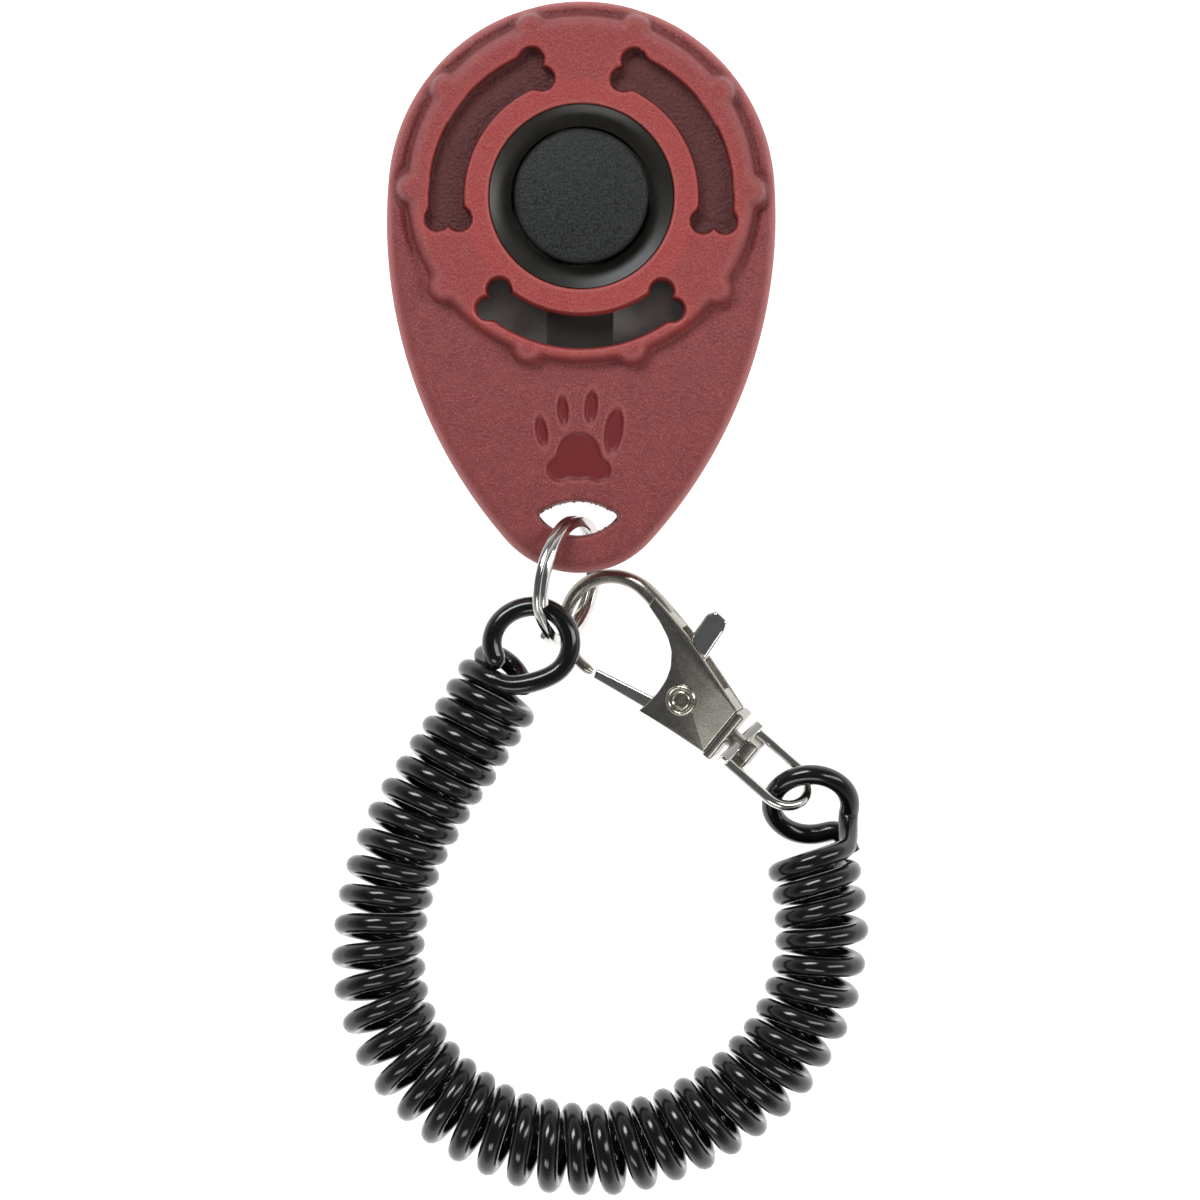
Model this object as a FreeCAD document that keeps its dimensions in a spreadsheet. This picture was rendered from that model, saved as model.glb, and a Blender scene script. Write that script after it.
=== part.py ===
import FreeCAD, Part
import math
import os
import re
import Sketcher

# Clicker trainer: an egg-shaped casing with a push button and a click strip inside,
# a split ring through its tip, a curly wrist band and a swivelling lobster clasp.
# The casing lies on its back: +Z out of the button, +Y towards the round head.
# Millimetres and degrees.

Vector = FreeCAD.Vector
Rotation = FreeCAD.Rotation
Placement = FreeCAD.Placement

sizes = {
    # casing outline: round head, long sides, small tip
    "egg_length": 65, "head_radius": 22, "side_radius": 55, "tip_radius": 11,
    "head_y": "=egg_length / 2 - head_radius", "tip_y": "=tip_radius - egg_length / 2",
    # casing heights, from the surface it lies on
    "case_height": 11.4, "parting_height": 7, "floor_wall": 1.8, "side_wall": 1.8,
    "roof_wall": 1.6, "roof_height": "=case_height - roof_wall",
    "slot_inset": 6.6, "slot_y": "=slot_inset - egg_length / 2",
    "tab_bottom": 5.5, "tab_long": 11.9, "tab_rise_start": "=slot_y + tab_long", "tab_rise_run": 10,
    "slope_long": 19.9, "face_slope_start": "=slot_y + slope_long",
    "tab_top": 9.98, "tab_drop": "=case_height - tab_top",
    "face_slope_radius": "=(slope_long ^ 2 + tab_drop ^ 2) / (2 * tab_drop)",
    "front_edge_round": 2, "back_edge_round": 1.8,
    # raised plate with its knobs, bone recesses and button opening
    "dial_inset": 0.35, "dial_y": "=head_y - dial_inset", "dial_hole": 10.5,
    "plate_shift": 0.85, "plate_y": "=dial_y + plate_shift",
    "plate_rise": 2, "plate_top": "=case_height + plate_rise",
    "bone_wall": 2.7, "bone_inner": "=dial_hole + bone_wall",
    "bone_wide": 4.2, "bone_outer": "=bone_inner + bone_wide",
    "bone_deep": 2, "bone_floor": "=plate_top - bone_deep", "bone_lobe": 1.5, "lobe_inset": 0.9,
    "bone_turn": 60, "bone_span": 40, "window_span": 40,
    "plate_margin": 2.3, "plate_radius": "=bone_outer + plate_margin", "plate_draft": 0.5,
    "knob_radius": 2.2, "knob_inset": 1.1, "knob_circle": "=plate_radius - knob_inset",
    # paw print and ring slot
    "paw_x": 0, "paw_rise": 6.5, "paw_y": "=slot_y + paw_rise", "paw_depth": 0.5,
    "slot_half": 4.5, "slot_above": 1.6, "slot_below": 2.4,
    # button and the black dish round it
    "button_radius": 7.6, "button_stand": 2, "button_top": "=plate_top + button_stand",
    "button_dome": 0.6, "button_edge": 0.8,
    "button_gap": 0.4, "dish_bore": "=button_radius + button_gap", "dish_fit": 0.1,
    "dish_drop": 0.4, "dish_rim": "=plate_top - dish_drop",
    "dish_slope": 1.1, "dish_slope_foot": "=dish_rim - dish_slope",
    "flange_lap": 2.1, "dish_flange": "=dial_hole + flange_lap", "dish_flange_thick": 1,
    "tongue_half": 3.75, "tongue_lap": 0.2, "tongue_reach": "=bone_outer + tongue_lap", "tongue_gap": 0.02,
    # cap, plunger and damper
    "cap_skirt": 6, "cap_bottom": "=button_top - cap_skirt", "cap_wall": 1.2, "cap_roof": 1.9,
    "plunger_fit": 0.05, "plunger_lap": 0.9, "plunger_flange": "=button_radius + plunger_lap",
    "flange_thick": 0.8, "flange_gap": 0.2,
    "tip_pin_radius": 1.3, "tip_pin_socket": 1, "tip_gap": 0.1, "damper_thick": 0.4,
    "damper_margin": 0.1, "damper_clear": 0.3,
    "flange_bottom": "=roof_height - dish_flange_thick - flange_gap - damper_thick - flange_thick",
    # click strip, its holder, clamp, rivets and strike plate
    "strip_half": 11, "strip_bend": 8.5, "strip_width": 9, "strip_thick": 0.4, "strip_crown": 0.6,
    "holder_end": 1, "holder_half": "=strip_half + holder_end", "holder_top": 5.2,
    "holder_ledge": 0.5, "holder_gap": "=strip_bend - holder_ledge", "holder_rail": 1, "holder_side": 1.5,
    "holder_width": "=strip_width + 2 * holder_side",
    "strike_thick": 0.5, "strike_half": 12, "strike_rise": 7.85, "strike_high": "=dial_y + strike_rise",
    "clamp_length": 2, "clamp_inset": 0.5, "clamp_width": "=strip_width - 2 * clamp_inset", "clamp_thick": 0.4,
    "rivet_radius": 0.5, "rivet_head": 0.8, "rivet_head_thick": 0.3, "rivet_pitch": 5.2, "rivet_depth": 2,
    # screws
    "screw_x": 17.2, "screw_rise": 1.85, "screw_y": "=dial_y + screw_rise",
    "screw_drop": 2.95, "screw_tip_y": "=dial_y - tongue_reach - screw_drop",
    "screw_radius": 0.9, "screw_fit": 0.1,
    "screw_head": 2.1, "screw_head_thick": 1.25, "screw_sink": 0.15, "screw_length": 8.4, "screw_roof": 0.6,
    "cross_long": 2.4, "cross_wide": 0.5, "cross_deep": 0.5,
    "boss_radius": 2.6, "boss_gap": 0.1, "seat_height": 3.6,
    "strike_inset": 3.5, "strike_low": "=screw_tip_y + strike_inset",
    "cavity_inset": 3.1, "cavity_reach": "=screw_tip_y - cavity_inset", "cavity_side_radius": 24,
    "cavity_tip_radius": 9,
    # split ring
    "ring_outer": 7.5, "ring_thick": 1.15, "ring_inner": "=ring_outer - ring_thick", "ring_width": 1.6,
    "ring_groove": 0.25, "ring_x": -1.14, "ring_y": "=slot_y - ring_outer", "ring_z": 7.25,
    "ring_heading": -100.5, "ring_roll": 114,
    # the band and the clasp follow the ring's far side
    "chain_lap": 0.9, "chain_y": "=slot_y - 2 * ring_outer + chain_lap",
    # curly wrist band
    "coil_outer": 5.4, "cord_radius": 1.15, "loop_near": 4.2, "loop_far": 4.5,
    "near_x": -4.9, "near_down": 0.54, "near_y": "=chain_y - near_down", "near_z": 9.6,
    "far_x": 26.88, "far_down": 18.7, "far_y": "=chain_y - far_down", "far_z": 4.64, "far_tilt": 39,
    # lobster clasp: place of its rivet, and how it lies
    "clasp_x": 12.36, "clasp_down": 6.7, "clasp_y": "=chain_y - clasp_down", "clasp_z": 4.2,
    "clasp_heading": 139.3, "clasp_pitch": 7.5,
    "clasp_roll": -18.2, "body_thick": 3, "arm_thick": 1.6, "channel": 1.8, "lever_thick": 1.5,
    "hook_radius": 5.9, "hook_wire": 0.75, "hook_x": 11.5, "hook_y": -0.8, "hook_sweep": 192,
    "pin_radius": 0.85, "pin_fit": 0.05, "pin_head": 1.85, "pin_head_thick": 0.35, "pin_dimple": 0.8,
    "dimple_deep": 0.14, "collar_back": -6.9, "collar_front": -5.8, "collar_wide": 6.6, "collar_step": 0.3,
    "swivel_y": -0.2, "stud_radius": 1.1, "stud_inner": -3,
    "stud_head_x": -8.6, "stud_head_long": 1.8, "stud_head_wide": 3.2, "stud_head_thick": 3,
    "eye_turn": 54, "eye_base_x": -8.3, "eye_base_thick": 1.2, "eye_base_height": 1.8, "eye_fit": 0.1,
    "eye_half": 3, "eye_wire": 0.62, "eye_bend_x": -14.9,
    "spring_wire": 0.13, "spring_room": 0.45, "spring_radius": "=pin_radius + spring_room",
    "spring_pocket": 0.6, "spring_pitch": 0.3, "spring_turns": 1.3, "spring_seat_room": 0.35,
    "spring_lift": 0.03,
}

# The wrist band's middle line, corner by corner, as it lies on the surface, counted from chain_y.
band_route = [
    (-8.5, -5.2), (-12.0, -11.0), (-16.2, -17.0), (-20.0, -24.0), (-22.3, -31.8), (-22.4, -39.6),
    (-20.0, -46.6), (-15.4, -52.2), (-9.2, -56.2), (-2.2, -58.3), (5.2, -58.4), (12.2, -56.3),
    (18.4, -52.7), (23.6, -47.6), (27.2, -41.0), (28.5, -34.4), (28.0, -28.9), (27.0, -24.5),
]
knob_count = 10

doc = FreeCAD.newDocument("ClickerTrainer")
sheet = doc.addObject("Spreadsheet::Sheet", "Size")
for row, (alias, number) in enumerate(sizes.items(), start=1):
    sheet.set(f"A{row}", alias)
    sheet.set(f"B{row}", str(number))
    sheet.setAlias(f"B{row}", alias)
doc.recompute()
subparts = []


def expression(text):
    # Puts the sheet's name before each alias.
    return re.sub(r"[a-z_]+", lambda word: "Size." + word[0] if word[0] in sizes else word[0], str(text))


def value(text):
    return float(sheet.evalExpression(expression(text)))


def bind(thing, prop, text):
    thing.setExpression(prop, expression(text))


def place(thing, x=0, y=0, z=0, rotation=Rotation()):
    thing.Placement = Placement(Vector(value(x), value(y), value(z)), rotation)
    for axis, text in zip("xyz", (x, y, z)):
        bind(thing, "Placement.Base." + axis, text)
    return thing


def subpart(thing, label):
    thing.Label = label
    subparts.append(thing)
    return thing


# Primitives and booleans, each bound to the sheet.
def cylinder(name, radius, height, x=0, y=0, z=0, rotation=Rotation(), angle=360):
    thing = doc.addObject("Part::Cylinder", name)
    bind(thing, "Radius", radius)
    bind(thing, "Height", height)
    bind(thing, "Angle", angle)
    return place(thing, x, y, z, rotation)


def cone(name, low, high, height, x=0, y=0, z=0):
    thing = doc.addObject("Part::Cone", name)
    bind(thing, "Radius1", low)
    bind(thing, "Radius2", high)
    bind(thing, "Height", height)
    return place(thing, x, y, z)


def torus(name, middle, section, x=0, y=0, z=0, rotation=Rotation(), sweep=360):
    thing = doc.addObject("Part::Torus", name)
    bind(thing, "Radius1", middle)
    bind(thing, "Radius2", section)
    bind(thing, "Angle3", sweep)
    return place(thing, x, y, z, rotation)


def ellipsoid(name, across, along, deep, x, y, z, turn=0):
    thing = doc.addObject("Part::Ellipsoid", name)
    bind(thing, "Radius1", deep)
    bind(thing, "Radius2", across)
    bind(thing, "Radius3", along)
    return place(thing, x, y, z, Rotation(Vector(0, 0, 1), turn))


def box(name, length, width, height, x, y, z):
    thing = doc.addObject("Part::Box", name)
    bind(thing, "Length", length)
    bind(thing, "Width", width)
    bind(thing, "Height", height)
    return place(thing, x, y, z)


def centredBox(name, length, width, height, x, y, z):
    # A box given by its low X face and its middle in Y and Z.
    return box(name, length, width, height, x, f"{y} - ({width}) / 2", f"{z} - ({height}) / 2")


def fuse(name, things):
    thing = doc.addObject("Part::MultiFuse", name)
    thing.Shapes = things
    return thing


def cut(name, base, tool):
    thing = doc.addObject("Part::Cut", name)
    thing.Base = base
    thing.Tool = tool
    return thing


def common(name, first, second):
    thing = doc.addObject("Part::MultiCommon", name)
    thing.Shapes = [first, second]
    return thing


# Sketches and PartDesign features.
def newSketch(body, name, role, lift=0):
    sketch = body.newObject("Sketcher::SketchObject", name)
    plane = next(item for item in body.Origin.OriginFeatures if item.Role == role)
    sketch.AttachmentSupport = [(plane, "")]
    sketch.MapMode = "FlatFace"
    bind(sketch, "AttachmentOffset.Base.z", lift)
    return sketch


def constrain(sketch, name, kind, *where, text):
    index = sketch.addConstraint(Sketcher.Constraint(kind, *where, value(text)))
    sketch.renameConstraint(index, name)
    bind(sketch, "Constraints." + name, text)


def circleOn(sketch, name, radius, x=0, y=0):
    centre = Vector(value(x), value(y), 0)
    index = sketch.addGeometry(Part.Circle(centre, Vector(0, 0, 1), value(radius)))
    constrain(sketch, name + "Radius", "Radius", index, text=radius)
    constrain(sketch, name + "X", "DistanceX", -1, 1, index, 3, text=x)
    constrain(sketch, name + "Y", "DistanceY", -1, 1, index, 3, text=y)


def arcBetween(start, end, radius, left):
    # The short arc from start to end, with its centre on the left or right of the way.
    chord = end - start
    rise = math.sqrt(radius ** 2 - chord.Length ** 2 / 4)
    normal = Vector(-chord.y, chord.x, 0).normalize()
    centre = (start + end) * 0.5 + normal * (rise if left else -rise)
    first, last = (start, end) if left else (end, start)
    angles = [math.atan2(point.y - centre.y, point.x - centre.x) for point in (first, last)]
    return Part.ArcOfCircle(Part.Circle(centre, Vector(0, 0, 1), radius), *angles)


def outlineOn(sketch, points):
    # A closed outline. A point is (x, y), or (x, y, radius, left) where an arc leaves it.
    corners = [Vector(value(point[0]), value(point[1]), 0) for point in points]
    ends = []
    for index, point in enumerate(points):
        start, end = corners[index], corners[(index + 1) % len(corners)]
        if len(point) == 2:
            sketch.addGeometry(Part.LineSegment(start, end))
            ends.append((1, 2))
        else:
            sketch.addGeometry(arcBetween(start, end, value(point[2]), point[3]))
            ends.append((1, 2) if point[3] else (2, 1))
            constrain(sketch, f"radius{index}", "Radius", index, text=point[2])
    for index, point in enumerate(points):
        after = (index + 1) % len(points)
        sketch.addConstraint(Sketcher.Constraint("Coincident", index, ends[index][1], after, ends[after][0]))
        constrain(sketch, f"x{index}", "DistanceX", -1, 1, index, ends[index][0], text=point[0])
        constrain(sketch, f"y{index}", "DistanceY", -1, 1, index, ends[index][0], text=point[1])


def eggOn(sketch, head, headY, side, tip, tipY):
    # Four tangent arcs: head, left side, tip, right side, symmetrical about Y.
    headR, headC, sideR, tipR, tipC = (value(text) for text in (head, headY, side, tip, tipY))
    sideC = ((sideR - tipR) ** 2 - (sideR - headR) ** 2 + headC ** 2 - tipC ** 2) / (2 * (headC - tipC))
    inset = math.sqrt((sideR - headR) ** 2 - (sideC - headC) ** 2)
    high = math.atan2(headC - sideC, inset)
    low = math.atan2(tipC - sideC, inset)
    arcs = [
        (0, headC, headR, high, math.pi - high),
        (inset, sideC, sideR, math.pi - high, math.pi - low),
        (0, tipC, tipR, math.pi - low, 2 * math.pi + low),
        (-inset, sideC, sideR, low, high),
    ]
    for x, y, radius, first, last in arcs:
        circle = Part.Circle(Vector(x, y, 0), Vector(0, 0, 1), radius)
        sketch.addGeometry(Part.ArcOfCircle(circle, first, last))
    for index in range(4):
        sketch.addConstraint(Sketcher.Constraint("Tangent", index, 2, (index + 1) % 4, 1))
    for index, radius in enumerate((head, side, tip, side)):
        constrain(sketch, f"radius{index}", "Radius", index, text=radius)
    for index, y in ((0, headY), (2, tipY)):
        constrain(sketch, f"x{index}", "DistanceX", -1, 1, index, 3, text="0")
        constrain(sketch, f"y{index}", "DistanceY", -1, 1, index, 3, text=y)


def pad(body, name, sketch, length, symmetric=False):
    feature = body.newObject("PartDesign::Pad", name)
    feature.Profile = sketch
    bind(feature, "Length", length)
    if symmetric:
        feature.SideType = "Symmetric"
    return feature


def pocket(body, name, sketch, length=None, symmetric=False):
    before = body.Shape.Volume
    feature = body.newObject("PartDesign::Pocket", name)
    feature.Profile = sketch
    if length is None:
        feature.Type = "ThroughAll"
    else:
        bind(feature, "Length", length)
    if symmetric:
        feature.SideType = "Symmetric"
    doc.recompute()
    assert body.Shape.Volume < before - 0.01, f"{name} cuts nothing"
    return feature


def revolve(name, points):
    # A turned piece: half profile as (radius, height), about its own Z axis.
    body = doc.addObject("PartDesign::Body", name)
    sketch = newSketch(body, name + "Profile", "XZ_Plane")
    outlineOn(sketch, points)
    feature = body.newObject("PartDesign::Revolution", name + "Turn")
    feature.Profile = sketch
    feature.ReferenceAxis = (sketch, ["V_Axis"])
    feature.Angle = 360
    return body


# Casing, made as one blank and parted into its two shells
slope_end = "(tip_y - tip_radius - 3)"
above = "(case_height + 5)"


def makeBlank():
    body = doc.addObject("PartDesign::Body", "case_blank")
    outline = newSketch(body, "EggOutline", "XY_Plane")
    eggOn(outline, "head_radius", "head_y", "side_radius", "tip_radius", "tip_y")
    pad(body, "EggPad", outline, "case_height")
    doc.recompute()

    # The face falls gently towards the tip.
    slope_drop = f"(face_slope_radius - sqrt(face_slope_radius ^ 2 - ({slope_end} - face_slope_start) ^ 2))"
    face = newSketch(body, "FaceSlope", "YZ_Plane")
    outlineOn(face, [
        ("face_slope_start", "case_height", "face_slope_radius", True),
        (slope_end, f"case_height - {slope_drop}"),
        (slope_end, above),
        ("face_slope_start", above),
    ])
    pocket(body, "FaceSlopeCut", face, symmetric=True)

    # The back rises in two tangent arcs to the thin tab that carries the ring slot.
    rise_radius = "((tab_rise_run ^ 2 + tab_bottom ^ 2) / (4 * tab_bottom))"
    belly = newSketch(body, "BackRise", "YZ_Plane")
    outlineOn(belly, [
        ("tab_rise_start", 0, rise_radius, False),
        ("tab_rise_start - tab_rise_run / 2", "tab_bottom / 2", rise_radius, True),
        ("tab_rise_start - tab_rise_run", "tab_bottom"),
        (slope_end, "tab_bottom"),
        (slope_end, -2),
        ("tab_rise_start", -2),
    ])
    pocket(body, "BackRiseCut", belly, symmetric=True)

    for name, radius, front in (("FrontEdge", "front_edge_round", True),
                                ("BackEdge", "back_edge_round", False)):
        last = body.Tip
        edges = rimEdges(last.Shape, front)
        rounding = body.newObject("PartDesign::Fillet", name)
        rounding.Base = (last, edges)
        bind(rounding, "Radius", radius)
        doc.recompute()
    return body


def rimEdges(shape, front):
    # Names of the edges where the upright side walls meet the face or the back.
    rims = []
    middle = value("parting_height")
    walls = [face for face in shape.Faces
             if isinstance(face.Surface, Part.Cylinder) and abs(face.Surface.Axis.z) > 0.99]
    for index, edge in enumerate(shape.Edges, start=1):
        onWall = any(edge.isSame(other) for wall in walls for other in wall.Edges)
        spot = edge.valueAt((edge.FirstParameter + edge.LastParameter) / 2)
        upright = edge.BoundBox.XLength < 1e-4 and edge.BoundBox.YLength < 1e-4
        if onWall and not upright and (spot.z > middle) == front:
            rims.append(f"Edge{index}")
    return rims


def makeCavity():
    body = doc.addObject("PartDesign::Body", "cavity")
    outline = newSketch(body, "CavityOutline", "XY_Plane", "floor_wall")
    eggOn(outline, "head_radius - side_wall", "head_y", "cavity_side_radius",
          "cavity_tip_radius", "cavity_reach + cavity_tip_radius")
    pad(body, "CavityPad", outline, "roof_height - floor_wall")
    return body


blank = makeBlank()
cavity = makeCavity()
wide = "2 * head_radius + 4"
screwSpots = [("screw_x", "screw_y"), ("-screw_x", "screw_y"), ("0", "screw_tip_y")]


def slotTool(name):
    # A half-moon: the lens where a shallow upper circle and a deeper lower one overlap.
    upper = "((slot_half ^ 2 + slot_above ^ 2) / (2 * slot_above))"
    lower = "((slot_half ^ 2 + slot_below ^ 2) / (2 * slot_below))"
    top = cylinder(name + "Top", upper, above, 0, f"slot_y + slot_above - {upper}", 0)
    bottom = cylinder(name + "Bottom", lower, above, 0, f"slot_y - slot_below + {lower}", 0)
    return common(name, top, bottom)


def boneTool(name, turn, span, bottom):
    # A curved shaft with two round lobes at each end, about the button's axis.
    high = f"plate_top + 1 - {bottom}"
    start = Rotation(Vector(0, 0, 1), turn - value(span))
    outer = cylinder(name + "Outer", "bone_outer", high, 0, "dial_y", bottom, start, f"2 * {span}")
    inner = cylinder(name + "Inner", "bone_inner", f"{high} + 2", 0, "dial_y", f"{bottom} - 1")
    pieces = [cut(name + "Shaft", outer, inner)]
    for end, way in enumerate((-1, 1)):
        for side, radius in enumerate(("bone_inner + lobe_inset", "bone_outer - lobe_inset")):
            angle = f"({turn} + {way} * {span})"
            pieces.append(cylinder(f"{name}Lobe{end}{side}", "bone_lobe", high,
                                   f"({radius}) * cos({angle})", f"dial_y + ({radius}) * sin({angle})", bottom))
    return fuse(name, pieces)


def pawTools():
    # One main pad and four toes, each a shallow smooth dish: across, along, x, y, turn.
    pads = [(3.7, 3.0, 0, 0, 0), (0.85, 2.0, -4.3, 2.9, 12), (0.8, 1.9, -2.0, 5.3, 6),
            (0.9, 2.1, 1.3, 5.8, -4), (1.1, 2.8, 4.0, 3.1, -10)]
    tools = []
    for index, (across, along, x, y, turn) in enumerate(pads):
        drop = f"((paw_y + {y} - face_slope_start) ^ 2 / (2 * face_slope_radius))"
        tools.append(ellipsoid(f"Paw{index}", across, along, "paw_depth", f"paw_x + {x}", f"paw_y + {y}",
                               f"case_height - {drop}", turn))
    return tools


def makeFrontShell():
    upper = box("FrontHalf", wide, "2 * egg_length", above, f"-({wide}) / 2", "-egg_length", "parting_height")
    skin = cut("FrontSkin", common("FrontBlank", blank, upper), cavity)
    height = "plate_top - roof_height"
    plate = cone("Plate", "plate_radius + plate_draft", "plate_radius", height, 0, "plate_y", "roof_height")
    solids = [skin, plate]
    for index in range(knob_count):
        angle = 90 + (index + 0.5) * 360 / knob_count
        x, y = f"knob_circle * cos({angle})", f"plate_y + knob_circle * sin({angle})"
        solids.append(cone(f"Knob{index}", "knob_radius + plate_draft", "knob_radius", height,
                           x, y, "roof_height"))
    tools = [cylinder("DialHole", "dial_hole", above, 0, "dial_y", 0), slotTool("FrontSlot")]
    tools += [boneTool("BoneRight", 90 - value("bone_turn"), "bone_span", "bone_floor"),
              boneTool("BoneLeft", 90 + value("bone_turn"), "bone_span", "bone_floor"),
              boneTool("BoneWindow", 270, "window_span", "(roof_height - 1)")]
    tools += pawTools()
    for index, (x, y) in enumerate(screwSpots):
        foot = "(seat_height + boss_gap)"
        solids.append(cylinder(f"Boss{index}", "boss_radius", f"roof_height - {foot}", x, y, foot))
        tools.append(cylinder(f"Pilot{index}", "screw_radius + screw_fit / 2",
                              f"roof_height - screw_roof - {foot} + 1", x, y, f"{foot} - 1"))
    subpart(cut("front_shell", fuse("FrontSolid", solids), fuse("FrontTools", tools)), "front_shell")


def makeBackShell():
    lower = box("BackHalf", wide, "2 * egg_length", "parting_height + 1", f"-({wide}) / 2", "-egg_length", -1)
    skin = cut("BackSkin", common("BackBlank", blank, lower), cavity)
    solids = [skin]
    tools = [slotTool("BackSlot")]
    for index, (x, y) in enumerate(screwSpots):
        solids.append(cylinder(f"Seat{index}", "boss_radius", "seat_height - floor_wall", x, y, "floor_wall"))
        tools.append(cylinder(f"ScrewWay{index}", "screw_radius + screw_fit", "seat_height + 2", x, y, -1))
        tools.append(cone(f"Sink{index}", "screw_head + screw_fit", "screw_radius + screw_fit",
                          "screw_head_thick", x, y, "screw_sink"))
        tools.append(cylinder(f"SinkMouth{index}", "screw_head + screw_fit", "screw_sink + 1", x, y, -1))
    subpart(cut("back_shell", fuse("BackSolid", solids), fuse("BackTools", tools)), "back_shell")


def makeScrews():
    screws = []
    for index, (x, y) in enumerate(screwSpots):
        head = cone(f"ScrewHead{index}", "screw_head", "screw_radius", "screw_head_thick", x, y, "screw_sink")
        shank = cylinder(f"ScrewShank{index}", "screw_radius", "screw_length", x, y, "screw_sink")
        slots = fuse(f"ScrewCross{index}", [
            centredBox(f"CrossA{index}", "cross_long", "cross_wide", "2 * cross_deep",
                       f"{x} - cross_long / 2", y, "screw_sink"),
            centredBox(f"CrossB{index}", "cross_wide", "cross_long", "2 * cross_deep",
                       f"{x} - cross_wide / 2", y, "screw_sink")])
        screws.append(cut(f"Screw{index}", fuse(f"ScrewSolid{index}", [head, shank]), slots))
    group = doc.addObject("Part::Compound", "case_screws")
    group.Links = screws
    subpart(group, "case_screws")


makeFrontShell()
makeBackShell()
makeScrews()

# Black dish, button, plunger, tip and damper, all turned about the button's axis
flange_top = "(flange_bottom + flange_thick)"
boss_radius_fit = "(button_radius - cap_wall - plunger_fit)"
strip_top = "(holder_top + strip_crown + strip_thick)"
dome_radius = "(((button_radius - button_edge) ^ 2 + button_dome ^ 2) / (2 * button_dome))"


def makeDish():
    body = revolve("dish_insert", [
        ("dish_bore", "roof_height - dish_flange_thick"),
        ("dish_flange", "roof_height - dish_flange_thick"),
        ("dish_flange", "roof_height"),
        ("dial_hole - dish_fit", "roof_height"),
        ("dial_hole - dish_fit", "dish_rim"),
        ("dish_bore", "dish_slope_foot"),
    ])
    # A tongue stands behind the middle of the open bone window.
    tongue = newSketch(body, "Tongue", "XY_Plane", "roof_height - dish_flange_thick")
    outlineOn(tongue, [("-tongue_half", "-tongue_reach"), ("tongue_half", "-tongue_reach"),
                       ("tongue_half", "-dish_bore - 2"), ("-tongue_half", "-dish_bore - 2")])
    pad(body, "TonguePad", tongue, "dish_flange_thick - tongue_gap")
    subpart(place(body, 0, "dial_y"), "dish_insert")


def makeButton():
    cap = revolve("button_cap", [
        (0, "button_top - cap_roof"),
        ("button_radius - cap_wall", "button_top - cap_roof"),
        ("button_radius - cap_wall", "cap_bottom"),
        ("button_radius", "cap_bottom"),
        ("button_radius", "button_top - button_dome - button_edge", "button_edge", True),
        ("button_radius - button_edge", "button_top - button_dome", dome_radius, True),
        (0, "button_top"),
    ])
    subpart(place(cap, 0, "dial_y"), "button_cap")
    plunger = revolve("button_plunger", [
        ("tip_pin_radius", "flange_bottom"),
        ("plunger_flange", "flange_bottom"),
        ("plunger_flange", flange_top),
        (boss_radius_fit, flange_top),
        (boss_radius_fit, "button_top - cap_roof - plunger_fit"),
        (0, "button_top - cap_roof - plunger_fit"),
        (0, "flange_bottom + tip_pin_socket"),
        ("tip_pin_radius", "flange_bottom + tip_pin_socket"),
    ])
    subpart(place(plunger, 0, "dial_y"), "button_plunger")
    foot = f"({strip_top} + tip_gap)"
    subpart(cylinder("plunger_tip", "tip_pin_radius", f"flange_bottom + tip_pin_socket - {foot}",
                     0, "dial_y", foot), "plunger_tip")
    outer = cylinder("DamperOuter", "plunger_flange - damper_margin", "damper_thick", 0, "dial_y", flange_top)
    inner = cylinder("DamperInner", f"{boss_radius_fit} + damper_clear", "damper_thick + 2",
                     0, "dial_y", f"{flange_top} - 1")
    subpart(cut("button_damper", outer, inner), "button_damper")


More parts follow.
